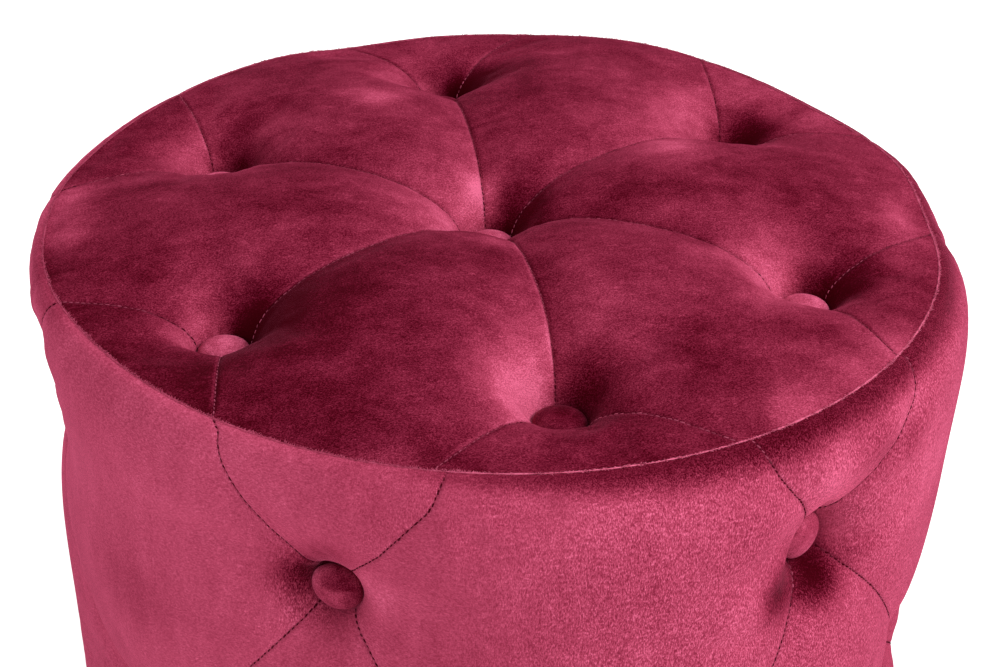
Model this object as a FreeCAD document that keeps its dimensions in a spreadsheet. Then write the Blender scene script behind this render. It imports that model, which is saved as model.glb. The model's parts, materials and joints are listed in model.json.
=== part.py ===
import FreeCAD, Part
import math
import os
import Sketcher
from FreeCAD import Placement, Rotation, Vector

# Round deep-buttoned tuffet.  Millimetres, +Z up, origin on the floor under its centre.
# A timber drum carries foam, wadding and a sewn cover.  Every covered button is tied by a
# loop of twine through the padding to a steel pin behind the board or the drum wall.

SIZES = {
    # outside of the cover
    "rim_radius": 208,             # seam between the top and the side of the cover
    "rim_height": 415,
    "side_bulge": 15,              # the side's widest line stands out of the rim seam by this
    "crown_height": 16,            # top pad above the rim seam
    "crown_border": 76,            # the top pad is flat up to this far inside the rim seam
    "crown_swell": 13,             # its rise half way across that border
    "shoulder_drop": 46,           # the side is at its widest from here down
    "shoulder_swell": 11,          # half way down the shoulder, this far out of the seam
    "fold_radius": 34,             # rounding where the cover folds under the drum
    "hem_overlap": 17,             # the turned-under hem laps the base board by this
    "split_drop": 26,              # the top and side covers part above this drop
    # soft layers
    "cover_thickness": 1.5,
    "wadding_thickness": 8,
    "layer_gap": 0.3,
    # timber drum
    "side_padding": 43,            # rim seam in to the edge of the boards
    "base_board_thickness": 18,
    "top_board_thickness": 12,
    "top_board_drop": 48,          # rim seam down to the face of the top board
    "drum_wall_thickness": 3,
    "ring_rise": 28,               # middle row up to the underside of the stiffening ring
    "ring_thickness": 12,
    "ring_width": 38,
    "post_inset": 25,              # board edge in to the middle of a post
    "post_side": 34,
    # tufting
    "top_ring_inset": 55.5,        # rim seam in to the six outer buttons of the top
    "top_button_drop": 20.5,       # rim seam down to the back of a top button
    "side_button_inset": 10.5,     # rim seam in to the back of a side button
    "upper_row_drop": 73,
    "lower_row_rise": 41.1,        # base board up to the lower row; the middle row is half way
    "button_radius": 11.5,
    "button_thickness": 7.5,
    "button_edge": 2.6,            # height of the button's rim under its dome
    "button_back_radius": 10.2,
    "button_seat": 1.5,            # flat cloth seen around a button's back
    "funnel_slope": 0.95,          # how fast the dimple widens on its way out
    "eye_radius": 3,
    "eye_neck": 1,
    "strand_offset": 2.2,
    "twine_radius": 0.9,
    "twine_hole_radius": 4.8,
    "pin_length": 15,
    # fasteners
    "screw_radius": 2.2,
    "screw_length": 48,
    "screw_head_radius": 4.4,
    "screw_head_height": 3,
    "staple_wire": 0.7,
    "staple_width": 10,
    "staple_leg": 8,
    "staple_slack": 0.1,
    "cover_staple_inset": 9,       # board edge in to each ring of staples
    "dust_staple_inset": 5.5,
    # underside
    "dust_thickness": 0.8,
    "dust_inset": 3,
    "foot_inset": 32,
    "foot_radius": 20,
    "foot_height": 16,
    "foot_bevel": 3,
    "glide_radius": 16,
    "glide_thickness": 3,
    "stud_radius": 3.9,
    "stud_engagement": 9,          # how far the stud reaches down into its foot
    "stud_projection": 4,          # how far it stands out of its tee nut
    "tee_nut_radius": 5.5,
    "tee_barrel_length": 12.6,
    "tee_flange_radius": 10,
    "tee_flange_thickness": 1.6,
}

# Buttons tied by hand wander a little: turn in degrees about the axis and reach in
# millimetres outwards, for the centre button's two offsets and the six outer ones.
TOP_WANDER = {1: (-0.2, -1.7), 2: (-1.5, -1.0), 3: (-1.5, 2.3), 4: (1.1, 0), 5: (-1.6, -1.9), 6: (-0.6, 2.3)}
CENTRE_WANDER = (-3.1, 0.6)
SIDE_WANDER = {"upper_6": 1.0, "upper_1": 0.9}

COVER_STAPLES = 24
DUST_STAPLES = 16
FEET = 4
POSTS = 6
TUFTS = 6                          # buttons in each ring and in each row
PITCH = 360 / TUFTS
FRONT = -90                        # azimuth of the first button of the top ring
DUST_PHASE = 0.5                   # dust cover staples sit between the feet
FAR = 600                          # longer than anything here, for cutting tools
UP = Vector(0, 0, 1)

doc = FreeCAD.newDocument("tuffet")
sheet = doc.addObject("Spreadsheet::Sheet", "dims")
nodes = []


def fill_sheet():
    """Write every driving dimension into the sheet under its alias."""
    wander = {}
    for number, (turn, reach) in TOP_WANDER.items():
        wander[f"top_turn_{number}"] = turn
        wander[f"top_reach_{number}"] = reach
    for place, turn in SIDE_WANDER.items():
        wander[f"side_turn_{place}"] = turn
    wander["centre_shift_x"], wander["centre_shift_y"] = CENTRE_WANDER
    for row, (alias, number) in enumerate({**SIZES, **wander}.items(), start=1):
        sheet.set(f"A{row}", alias.replace("_", " "))
        sheet.set(f"B{row}", str(number))
        sheet.setAlias(f"B{row}", alias)
    doc.recompute()


def val(expression):
    """The value of an expression over the sheet, in millimetres or degrees."""
    return float(sheet.evalExpression(expression))


# Heights and radii that follow from the sheet, as expressions that any object can use.
COVER_RADIUS = "(dims.rim_radius + dims.side_bulge)"
BOARD_RADIUS = "(dims.rim_radius - dims.side_padding)"
HEM_RADIUS = f"({BOARD_RADIUS} - dims.hem_overlap)"
TOP_RING = "(dims.rim_radius - dims.top_ring_inset)"
POST_CIRCLE = f"({BOARD_RADIUS} - dims.post_inset)"
FOOT_CIRCLE = f"({BOARD_RADIUS} - dims.foot_inset)"
COVER_STAPLE_CIRCLE = f"({BOARD_RADIUS} - dims.cover_staple_inset)"
DUST_STAPLE_CIRCLE = f"({BOARD_RADIUS} - dims.dust_staple_inset)"
DUST_BOTTOM = "(dims.glide_thickness + dims.foot_height + dims.layer_gap)"
DUST_TOP = f"({DUST_BOTTOM} + dims.dust_thickness)"
HEM_BOTTOM = f"({DUST_TOP} + dims.staple_wire + dims.layer_gap)"
BASE_BOTTOM = f"({HEM_BOTTOM} + dims.cover_thickness + dims.layer_gap)"
BASE_TOP = f"({BASE_BOTTOM} + dims.base_board_thickness)"
LID_TOP = "(dims.rim_height - dims.top_board_drop)"
LID_BOTTOM = f"({LID_TOP} - dims.top_board_thickness)"
UPPER_ROW = "(dims.rim_height - dims.upper_row_drop)"
LOWER_ROW = f"({BASE_TOP} + dims.lower_row_rise)"
MIDDLE_ROW = f"(({UPPER_ROW} + {LOWER_ROW}) / 2)"
RING_LEVEL = f"({MIDDLE_ROW} + dims.ring_rise)"
WALL_BORE = f"({BOARD_RADIUS} + dims.layer_gap)"
WALL_OUTSIDE = f"({WALL_BORE} + dims.drum_wall_thickness)"
FOAM_BORE = f"({WALL_OUTSIDE} + dims.layer_gap)"
CROWN_TOP = "(dims.rim_height + dims.crown_height)"
TOP_SEAT = "(dims.rim_height - dims.top_button_drop)"
SIDE_SEAT = "(dims.rim_radius - dims.side_button_inset)"
PIN_RADIUS = "(dims.strand_offset - dims.twine_radius - dims.layer_gap)"
EYE_DEPTH = "(dims.eye_neck + dims.eye_radius)"
PILOT_RADIUS = "(dims.screw_radius + dims.layer_gap)"
STUD_HOLE = "(dims.stud_radius + dims.layer_gap)"
SINK_DEPTH = "(dims.screw_head_height + dims.layer_gap)"
HEAD_HOLE = "(dims.screw_head_radius + dims.layer_gap)"
NUT_HOLE = "(dims.tee_nut_radius + dims.layer_gap)"
WADDING_INSET = "(dims.cover_thickness + dims.layer_gap)"
FOAM_INSET = f"({WADDING_INSET} + dims.wadding_thickness + dims.layer_gap)"


def keep(thing, label):
    """Name a finished sub-part and list it for export."""
    thing.Label = label
    nodes.append(thing)
    return thing


def put(thing, x="0", y="0", z="0", turn=None):
    """Bind a sub-part's place to the sheet."""
    if turn is not None:
        thing.Placement = Placement(Vector(), turn)
    for axis, expression in zip("xyz", (x, y, z)):
        thing.setExpression(f"Placement.Base.{axis}", expression)
    return thing


def around(radius, angle, shift=0):
    """X and Y expressions of a point on a circle."""
    return f"{radius} * cos({angle} deg + {shift} * 1 deg)", f"{radius} * sin({angle} deg + {shift} * 1 deg)"


# ---------------------------------------------------------------- sketches and bodies

def new_sketch(body, name, role):
    """A sketch on one of the body's own origin planes."""
    sketch = body.newObject("Sketcher::SketchObject", name)
    plane = next(item for item in body.Origin.OriginFeatures if item.Role == role)
    sketch.AttachmentSupport = [(plane, "")]
    sketch.MapMode = "FlatFace"
    return sketch


def bind(sketch, constraint, expression):
    """Add a sizing constraint whose value follows an expression."""
    index = sketch.addConstraint(constraint)
    sketch.setExpression(f"Constraints[{index}]", expression)


def add_circle(sketch, radius, x="0", y="0"):
    """A circle with its radius and centre bound to expressions."""
    centre = Vector(val(x), val(y), 0)
    edge = sketch.addGeometry(Part.Circle(centre, UP, val(radius)), False)
    bind(sketch, Sketcher.Constraint("Radius", edge, val(radius)), radius)
    if (x, y) == ("0", "0"):
        sketch.addConstraint(Sketcher.Constraint("Coincident", edge, 3, -1, 1))
        return
    bind(sketch, Sketcher.Constraint("DistanceX", -1, 1, edge, 3, centre.x), x)
    bind(sketch, Sketcher.Constraint("DistanceY", -1, 1, edge, 3, centre.y), y)


def add_outline(sketch, corners):
    """A closed outline of straight lines through corners given as expressions."""
    places = [Vector(val(x), val(y), 0) for x, y in corners]
    count = len(places)
    for index, start in enumerate(places):
        sketch.addGeometry(Part.LineSegment(start, places[(index + 1) % count]), False)
    for index, (x, y) in enumerate(corners):
        sketch.addConstraint(Sketcher.Constraint("Coincident", index, 1, (index - 1) % count, 2))
        for kind, expression in (("DistanceX", x), ("DistanceY", y)):
            bind(sketch, Sketcher.Constraint(kind, -1, 1, index, 1, val(expression)), expression)


def pad_circles(name, length, circles):
    """A body padded up from a sketch of circles, the first one its outside."""
    body = doc.addObject("PartDesign::Body", name)
    sketch = new_sketch(body, name + "_outline", "XY_Plane")
    for circle in circles:
        add_circle(sketch, *circle)
    pad = body.newObject("PartDesign::Pad", name + "_pad")
    pad.Profile = sketch
    pad.setExpression("Length", length)
    return body


def pocket_up(body, name, depth, circles):
    """Round holes cut upwards from the body's own base plane."""
    doc.recompute()
    before = body.Shape.Volume
    sketch = new_sketch(body, name + "_outline", "XY_Plane")
    for circle in circles:
        add_circle(sketch, *circle)
    pocket = body.newObject("PartDesign::Pocket", name)
    pocket.Profile = sketch
    pocket.Reversed = True
    pocket.setExpression("Length", depth)
    doc.recompute()
    if body.Shape.Volume >= before:
        raise ValueError(f"{name} cuts nothing")


def turned(name, corners):
    """A body of revolution about its own Z axis from an outline of radius and height."""
    body = doc.addObject("PartDesign::Body", name)
    sketch = new_sketch(body, name + "_profile", "XZ_Plane")
    add_outline(sketch, corners)
    revolution = body.newObject("PartDesign::Revolution", name + "_turn")
    revolution.Profile = sketch
    revolution.ReferenceAxis = (sketch, ["V_Axis"])
    revolution.Angle = 360
    return body


# ---------------------------------------------------------------- where the tufts are

def top_tufts():
    """Name and place of every top button: origin on its back, local +Z outwards."""
    tufts = {}
    tufts["top_button_centre"] = Placement(
        Vector(val("dims.centre_shift_x"), val("dims.centre_shift_y"), val(TOP_SEAT)), Rotation())
    for number in range(1, TUFTS + 1):
        angle = FRONT + PITCH * (number - 1) + val(f"dims.top_turn_{number}")
        reach = val(f"{TOP_RING} + dims.top_reach_{number}")
        spot = Rotation(UP, angle).multVec(Vector(reach, 0, 0))
        tufts[f"top_button_{number}"] = Placement(spot + Vector(0, 0, val(TOP_SEAT)), Rotation(UP, angle))
    return tufts


def side_tufts():
    """Name and place of every side button, in three rows that step by half a pitch."""
    rows = {"upper": (UPPER_ROW, 0.5), "middle": (MIDDLE_ROW, 0), "lower": (LOWER_ROW, 0.5)}
    tufts = {}
    for row, (level, shift) in rows.items():
        height = val(level)
        for number in range(1, TUFTS + 1):
            angle = FRONT + PITCH * (number - 1 + shift)
            place = f"{row}_{number}"
            if place in SIDE_WANDER:
                angle += val(f"dims.side_turn_{place}")
            spot = Rotation(UP, angle).multVec(Vector(val(SIDE_SEAT), 0, 0))
            outwards = Rotation(UP, angle).multiply(Rotation(Vector(0, 1, 0), 90))
            tufts[f"side_button_{place}"] = Placement(spot + Vector(0, 0, height), outwards)
    return tufts


def copies(shape, places):
    """One compound of a shape at every place."""
    made = []
    for place in places:
        one = shape.copy()
        one.Placement = place.multiply(one.Placement)
        made.append(one)
    return Part.Compound(made)


# ---------------------------------------------------------------- soft layers

def cover_section():
    """Half of the cover's outside, as a closed face in the XZ plane and its mirror."""
    rim, top = val("dims.rim_height"), val(CROWN_TOP)
    seam, wide = val("dims.rim_radius"), val(COVER_RADIUS)
    flat = seam - val("dims.crown_border")
    low, fold = val(HEM_BOTTOM), val("dims.fold_radius")
    shoulder = rim - val("dims.shoulder_drop")
    crest = (flat + seam) / 2
    bend = fold * (1 - math.cos(math.pi / 4))

    def side(sign):
        base = Vector(sign * (wide - fold), 0, low)
        under = Vector(sign * (wide - bend), 0, low + bend)
        wall = Vector(sign * wide, 0, low + fold)
        widest = Vector(sign * wide, 0, shoulder)
        swell = Vector(sign * (seam + val("dims.shoulder_swell")), 0, (rim + shoulder) / 2)
        notch = Vector(sign * seam, 0, rim)
        hump = Vector(sign * crest, 0, rim + val("dims.crown_swell"))
        table = Vector(sign * flat, 0, top)
        return [Part.Arc(base, under, wall), Part.LineSegment(wall, widest),
                Part.Arc(widest, swell, notch), Part.Arc(notch, hump, table)]

    left, right = side(-1), side(1)
    closing = [Part.LineSegment(left[0].StartPoint, right[0].StartPoint),
               Part.LineSegment(left[-1].EndPoint, right[-1].EndPoint)]
    edges = [curve.toShape() for curve in left + right + closing]
    return Part.Face(Part.Wire(Part.__sortEdges__(edges)))


def dimple(inset):
    """The dimple around one button and the channel of its twine, grown by an inset."""
    slope = val("dims.funnel_slope")
    seat = val("dims.button_radius + dims.button_seat")
    slant = math.hypot(1, slope)
    reach = val("dims.side_bulge + dims.crown_height + dims.top_button_drop")
    narrow = seat + inset * (slant - slope)
    wide = seat + slope * reach + inset * slant
    funnel = Part.makeCone(narrow, wide, reach + inset, Vector(0, 0, -inset))
    depth = val(f"{SIDE_SEAT} - {WALL_BORE} + dims.top_board_drop")
    channel = Part.makeCylinder(val("dims.twine_hole_radius"), depth, Vector(0, 0, -depth))
    return funnel.fuse(channel)


def envelope(inset):
    """Everything inside the cover's outside face moved inwards by an inset."""
    section = cover_section()
    if inset:
        section = section.makeOffset2D(-inset)
    half = section.common(Part.makeBox(FAR, 2, 2 * FAR, Vector(0, -1, -FAR)))
    solid = half.revolve(Vector(), UP, 360).Solids[0]
    places = list(top_tufts().values()) + list(side_tufts().values())
    return solid.cut(copies(dimple(inset), places))


def disc(radius, low, high):
    """A plain round tool between two heights."""
    return Part.makeCylinder(radius, high - low, Vector(0, 0, low))


def top_region(slack):
    """Tool that parts the top of a layer from its side: inside the rim seam, above the lid."""
    neck = val(f"{SIDE_SEAT} - {FOAM_INSET}") - slack
    lid, split = val(LID_TOP), val("dims.rim_height - dims.split_drop")
    return disc(val("dims.rim_radius") + slack, split, FAR).fuse(disc(neck, lid, FAR))


def soft_node(label, shape):
    """A soft solid, checked to be one piece."""
    solids = shape.Solids
    if len(solids) != 1:
        raise ValueError(f"{label} is {len(solids)} pieces")
    feature = doc.addObject("Part::Feature", label)
    feature.Shape = solids[0]
    return keep(feature, label)


def soft_layers():
    """Foam, wadding and cover, each parted into a top and a side."""
    gap = val("dims.layer_gap")
    low, lid = val(HEM_BOTTOM), val(LID_TOP)
    inner, outer = top_region(-gap / 2), top_region(gap / 2)
    core = disc(val(FOAM_BORE), low - gap, lid + gap)
    foam = envelope(val(FOAM_INSET)).cut(core)
    soft_node("top_foam", foam.common(disc(FAR, lid + gap, FAR)))
    soft_node("side_foam", foam.common(disc(FAR, 0, lid)))
    filled = envelope(val(f"{FOAM_INSET} - dims.layer_gap"))
    wadding = envelope(val(WADDING_INSET)).cut(filled).cut(core)
    soft_node("top_wadding", wadding.common(inner))
    soft_node("side_wadding", wadding.cut(outer))
    cover = envelope(0).cut(envelope(val("dims.cover_thickness")))
    hem_hole = disc(val(HEM_RADIUS), low - gap, lid)
    slits = [staple_slots(COVER_STAPLE_CIRCLE, COVER_STAPLES, HEM_BOTTOM),
             staple_slots(DUST_STAPLE_CIRCLE, DUST_STAPLES, DUST_BOTTOM, DUST_PHASE)]
    soft_node("top_cover", cover.common(inner))
    soft_node("side_cover", cover.cut(outer).cut(hem_hole).cut(slits))


# ---------------------------------------------------------------- staples

def staple_places(circle, count, height, phase=0):
    """Places of a ring of staples, their crowns along the ring."""
    places = []
    for number in range(count):
        turn = Rotation(UP, 360 / count * (number + phase))
        spot = turn.multVec(Vector(val(circle), 0, 0)) + Vector(0, 0, val(height))
        places.append(Placement(spot, turn))
    return places


def staple_part(slack, crown):
    """One staple: two legs, with its crown if wanted, legs up from height zero."""
    wire, width, leg = val("dims.staple_wire"), val("dims.staple_width"), val("dims.staple_leg")
    size = wire + 2 * slack
    legs = [Part.makeBox(size, size, leg + slack, Vector(-size / 2, side * (width - wire) / 2 - size / 2, 0))
            for side in (-1, 1)]
    if not crown:
        return Part.Compound(legs)
    bar = Part.makeBox(wire, width, wire, Vector(-wire / 2, -width / 2, -wire))
    return bar.fuse(legs).removeSplitter()


def staple_slots(circle, count, height, phase=0):
    """The slits that a ring of staples leaves in what it holds."""
    legs = staple_part(val("dims.staple_slack"), False)
    return copies(legs, staple_places(circle, count, height, phase))


def staples(label, circle, count, height, phase=0):
    """A ring of staples driven up from a height."""
    ring = doc.addObject("Part::Feature", label)
    ring.Shape = copies(staple_part(0, True), staple_places(circle, count, height, phase))
    keep(ring, label)


def stapled(body, label, rings):
    """A board or cloth with the slits of its staples cut out, bound to its body."""
    slits = doc.addObject("Part::Feature", label + "_slits")
    slits.Shape = Part.Compound([staple_slots(*ring) for ring in rings])
    cut = doc.addObject("Part::Cut", label)
    cut.Base = body
    cut.Tool = slits
    keep(cut, label)


# ---------------------------------------------------------------- timber drum

def post_angles():
    """Posts stand half way between two tuft columns."""
    return [FRONT + PITCH / 4 + 360 / POSTS * number for number in range(POSTS)]


def foot_spots(radius):
    """A circle of the given radius at each foot."""
    return [(radius, *around(FOOT_CIRCLE, 360 / FEET * number)) for number in range(FEET)]


def screw_spots(radius):
    """A circle of the given radius at each post."""
    return [(radius, *around(POST_CIRCLE, angle)) for angle in post_angles()]


def top_hole_spots():
    """The twine holes of the top board, under their buttons."""
    spots = [("dims.twine_hole_radius", "dims.centre_shift_x", "dims.centre_shift_y")]
    for number in range(1, TUFTS + 1):
        reach = f"({TOP_RING} + dims.top_reach_{number})"
        angle = FRONT + PITCH * (number - 1)
        spots.append(("dims.twine_hole_radius", *around(reach, angle, f"dims.top_turn_{number}")))
    return spots


def boards():
    """The round boards that close the drum at both ends."""
    base = pad_circles("base_blank", "dims.base_board_thickness", [(BOARD_RADIUS,)])
    through = screw_spots(PILOT_RADIUS) + foot_spots(NUT_HOLE)
    pocket_up(base, "base_holes", "dims.base_board_thickness", through)
    pocket_up(base, "base_sinks", SINK_DEPTH, screw_spots(HEAD_HOLE))
    put(base, z=BASE_BOTTOM)
    rings = [(COVER_STAPLE_CIRCLE, COVER_STAPLES, HEM_BOTTOM),
             (DUST_STAPLE_CIRCLE, DUST_STAPLES, DUST_BOTTOM, DUST_PHASE)]
    stapled(base, "base_board", rings)
    lid = pad_circles("top_board", "dims.top_board_thickness", [(BOARD_RADIUS,)])
    pocket_up(lid, "lid_holes", "dims.top_board_thickness", screw_spots(PILOT_RADIUS) + top_hole_spots())
    # the sinks are drawn on the face under the foam and cut downwards
    sinks = new_sketch(lid, "lid_sinks_outline", "XY_Plane")
    sinks.setExpression("AttachmentOffset.Base.z", "dims.top_board_thickness")
    for spot in screw_spots(HEAD_HOLE):
        add_circle(sinks, *spot)
    pocket = lid.newObject("PartDesign::Pocket", "lid_sinks")
    pocket.Profile = sinks
    pocket.setExpression("Length", SINK_DEPTH)
    keep(put(lid, z=LID_BOTTOM), "top_board")


def drum_wall():
    """The fibreboard wall, with a hole behind every side button."""
    blank = pad_circles("wall_blank", f"{LID_TOP} - {BASE_BOTTOM}", [(WALL_OUTSIDE,), (WALL_BORE,)])
    put(blank, z=BASE_BOTTOM)
    depth = val(f"{SIDE_SEAT} - {WALL_BORE} + dims.drum_wall_thickness")
    hole = Part.makeCylinder(val("dims.twine_hole_radius"), depth, Vector(0, 0, -depth))
    holes = doc.addObject("Part::Feature", "wall_holes")
    holes.Shape = copies(hole, side_tufts().values())
    wall = doc.addObject("Part::Cut", "drum_wall")
    wall.Base = blank
    wall.Tool = holes
    keep(wall, "drum_wall")


def posts():
    """Square posts between the boards, bored at both ends for their screws."""
    height = f"({LID_BOTTOM} - {BASE_TOP})"
    half = "dims.post_side / 2"
    for number, angle in enumerate(post_angles(), start=1):
        name = f"post_{number}"
        body = doc.addObject("PartDesign::Body", name)
        outline = new_sketch(body, name + "_outline", "XY_Plane")
        add_outline(outline, [(f"-{half}", f"-{half}"), (half, f"-{half}"), (half, half), (f"-{half}", half)])
        pad = body.newObject("PartDesign::Pad", name + "_pad")
        pad.Profile = outline
        pad.setExpression("Length", height)
        for end, board in (("low", "base"), ("high", "top")):
            bore = new_sketch(body, f"{name}_{end}_bore_outline", "XY_Plane")
            add_circle(bore, PILOT_RADIUS)
            pilot = body.newObject("PartDesign::Pocket", f"{name}_{end}_bore")
            pilot.Profile = bore
            pilot.setExpression("Length", f"{SINK_DEPTH} + dims.screw_length + dims.layer_gap"
                                          f" - dims.{board}_board_thickness")
            pilot.Reversed = end == "low"
            if end == "high":
                bore.setExpression("AttachmentOffset.Base.z", height)
        x, y = around(POST_CIRCLE, angle)
        keep(put(body, x, y, BASE_TOP, Rotation(UP, angle)), name)


def stiffening_ring():
    """A plywood ring inside the wall, notched around the posts."""
    bore = f"{BOARD_RADIUS} - dims.ring_width"
    blank = pad_circles("ring_blank", "dims.ring_thickness", [(BOARD_RADIUS,), (bore,)])
    put(blank, z=RING_LEVEL)
    clear = val("dims.post_side + 2 * dims.layer_gap")
    notch = Part.makeBox(clear, clear, FAR, Vector(-clear / 2, -clear / 2, 0))
    turns = [Rotation(UP, angle) for angle in post_angles()]
    spot = Vector(val(POST_CIRCLE), 0, 0)
    notches = doc.addObject("Part::Feature", "ring_notches")
    notches.Shape = copies(notch, [Placement(turn.multVec(spot), turn) for turn in turns])
    ring = doc.addObject("Part::Cut", "stiffening_ring")
    ring.Base = blank
    ring.Tool = notches
    keep(ring, "stiffening_ring")


def post_screws():
    """Screws through both boards into the ends of the posts."""
    head, shank = val("dims.screw_head_radius"), val("dims.screw_radius")
    sink, length = val("dims.screw_head_height"), val("dims.screw_length")
    screw = disc(head, 0, sink).fuse(disc(shank, sink, sink + length)).removeSplitter()
    places = []
    for angle in post_angles():
        spot = Rotation(UP, angle).multVec(Vector(val(POST_CIRCLE), 0, 0))
        gap = Vector(0, 0, val("dims.layer_gap"))
        places.append(Placement(spot + Vector(0, 0, val(BASE_BOTTOM)) + gap, Rotation()))
        places.append(Placement(spot + Vector(0, 0, val(LID_TOP)) - gap, Rotation(Vector(1, 0, 0), 180)))
    screws = doc.addObject("Part::Feature", "post_screws")
    screws.Shape = copies(screw, places)
    keep(screws, "post_screws")


# ---------------------------------------------------------------- buttons and twine

def covered_button(name, place):
    """A button shell with its velvet: a tapered rim under a low dome, flat back at height zero."""
    rim = doc.addObject("Part::Cone", name + "_rim")
    rim.setExpression("Radius1", "dims.button_back_radius")
    rim.setExpression("Radius2", "dims.button_radius")
    rim.setExpression("Height", "dims.button_edge")
    dome = doc.addObject("Part::Ellipsoid", name + "_dome")
    dome.setExpression("Radius1", "dims.button_thickness - dims.button_edge")
    dome.setExpression("Radius2", "dims.button_radius")
    dome.Angle1 = 0
    dome.setExpression("Placement.Base.z", "dims.button_edge")
    button = doc.addObject("Part::Fuse", name)
    button.Base = rim
    button.Tool = dome
    button.Placement = place
    keep(button, name)


def rod(curves, radius):
    """A round rod along joined lines and arcs that start upwards or downwards, checked by volume."""
    path = Part.Wire([curve.toShape() for curve in curves])
    section = Part.Wire(Part.makeCircle(radius, curves[0].StartPoint, UP).Edges)
    solid = path.makePipeShell([section], True, False)
    expected = math.pi * radius ** 2 * path.Length
    if abs(solid.Volume - expected) > 0.01 * expected:
        raise ValueError("a rod has the wrong volume")
    return solid


def button_eyes():
    """The wire eye under each button's back."""
    bend, neck = val("dims.eye_radius"), val("dims.eye_neck")
    left, right = Vector(-bend, 0, 0), Vector(bend, 0, 0)
    down = Vector(0, 0, -neck)
    eye = rod([Part.LineSegment(left, left + down),
               Part.Arc(left + down, Vector(0, 0, -neck - bend), right + down),
               Part.LineSegment(right + down, right)], val(PIN_RADIUS))
    eyes = doc.addObject("Part::Feature", "button_eyes")
    eyes.Shape = copies(eye, list(top_tufts().values()) + list(side_tufts().values()))
    keep(eyes, "button_eyes")


def twine_loop(length):
    """A closed loop of twine in the local YZ plane, over the eye and round its pin."""
    offset = val("dims.strand_offset")
    high = -val(EYE_DEPTH)
    low = high - length
    middle = Vector(0, offset, (high + low) / 2)
    near_top, near_low = Vector(0, offset, high), Vector(0, offset, low)
    far_top, far_low = Vector(0, -offset, high), Vector(0, -offset, low)
    return rod([Part.LineSegment(middle, near_top),
                Part.Arc(near_top, Vector(0, 0, high + offset), far_top),
                Part.LineSegment(far_top, far_low),
                Part.Arc(far_low, Vector(0, 0, low - offset), near_low),
                Part.LineSegment(near_low, middle)], val("dims.twine_radius"))


def twine_and_pins():
    """Every tuft's twine loop, and the pin that holds its far end."""
    pin_radius, half = val(PIN_RADIUS), val("dims.pin_length") / 2
    rest = val("dims.layer_gap") + pin_radius
    drops = {"top": val(f"{TOP_SEAT} - {LID_BOTTOM}"), "side": val(f"{SIDE_SEAT} - {WALL_BORE}")}
    pins = []
    for group, tufts in (("top", top_tufts()), ("side", side_tufts())):
        depth = drops[group] + rest
        loops = doc.addObject("Part::Feature", group + "_twine")
        loops.Shape = copies(twine_loop(depth - val(EYE_DEPTH)), tufts.values())
        keep(loops, group + "_twine")
        pin = Part.makeCylinder(pin_radius, 2 * half, Vector(-half, 0, -depth), Vector(1, 0, 0))
        pins.append(copies(pin, tufts.values()))
    steel = doc.addObject("Part::Feature", "twine_pins")
    steel.Shape = Part.Compound([pin for group in pins for pin in group.Solids])
    keep(steel, "twine_pins")


# ---------------------------------------------------------------- underside

def dust_cover():
    """The cloth disc that closes the underside, with a hole at each foot's stud."""
    circles = [(f"{BOARD_RADIUS} - dims.dust_inset",)] + foot_spots(STUD_HOLE)
    blank = pad_circles("dust_blank", "dims.dust_thickness", circles)
    put(blank, z=DUST_BOTTOM)
    stapled(blank, "dust_cover", [(DUST_STAPLE_CIRCLE, DUST_STAPLES, DUST_BOTTOM, DUST_PHASE)])


def feet():
    """Four short feet with glides, each on a stud that runs up into a tee nut."""
    radius, height, ease = "dims.foot_radius", "dims.foot_height", "dims.foot_bevel"
    floor = "dims.glide_thickness"
    bore_floor = f"({height} - dims.stud_engagement - dims.layer_gap)"
    profile = [("0", "0"), (f"{radius} - {ease}", "0"), (radius, ease), (radius, height),
               (STUD_HOLE, height), (STUD_HOLE, bore_floor), ("0", bore_floor)]
    stud_length = f"(dims.stud_engagement + {BASE_TOP} - {floor} - {height} + dims.tee_flange_thickness" \
                  " + dims.stud_projection)"
    for number in range(FEET):
        spot = around(FOOT_CIRCLE, 360 / FEET * number)
        foot = turned(f"foot_{number + 1}", profile)
        keep(put(foot, *spot, floor), f"foot_{number + 1}")
        glide = pad_circles(f"glide_{number + 1}", floor, [("dims.glide_radius",)])
        keep(put(glide, *spot), f"glide_{number + 1}")
    places = [Placement(Vector(val(x), val(y), 0), Rotation()) for _, x, y in foot_spots(radius)]
    stud_foot = val(f"{floor} + {height} - dims.stud_engagement")
    stud = disc(val("dims.stud_radius"), stud_foot, stud_foot + val(stud_length))
    studs = doc.addObject("Part::Feature", "foot_studs")
    studs.Shape = copies(stud, places)
    keep(studs, "foot_studs")
    face = val(BASE_TOP)
    flange = disc(val("dims.tee_flange_radius"), face, face + val("dims.tee_flange_thickness"))
    barrel = disc(val("dims.tee_nut_radius"), face - val("dims.tee_barrel_length"), face)
    nut = flange.fuse(barrel).cut(disc(val(STUD_HOLE), 0, FAR)).removeSplitter()
    nuts = doc.addObject("Part::Feature", "foot_tee_nuts")
    nuts.Shape = copies(nut, places)
    keep(nuts, "foot_tee_nuts")


# ---------------------------------------------------------------- build and write

def check_and_write():
    """Stop on any failed object or bad shape, then write one file per sub-part."""
    doc.recompute()
    failed = [thing.Name for thing in doc.Objects if {"Invalid", "Error"} & set(thing.State)]
    if failed:
        raise ValueError(f"failed objects: {failed}")
    for node in nodes:
        if node.Shape.isNull() or not node.Shape.isValid() or node.Shape.Volume <= 0:
            raise ValueError(f"{node.Label} has a bad shape")
    os.makedirs("parts", exist_ok=True)
    for node in nodes:
        node.Shape.exportStep(f"parts/{node.Label}.step")
    print(len(nodes), "sub-parts written")


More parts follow.
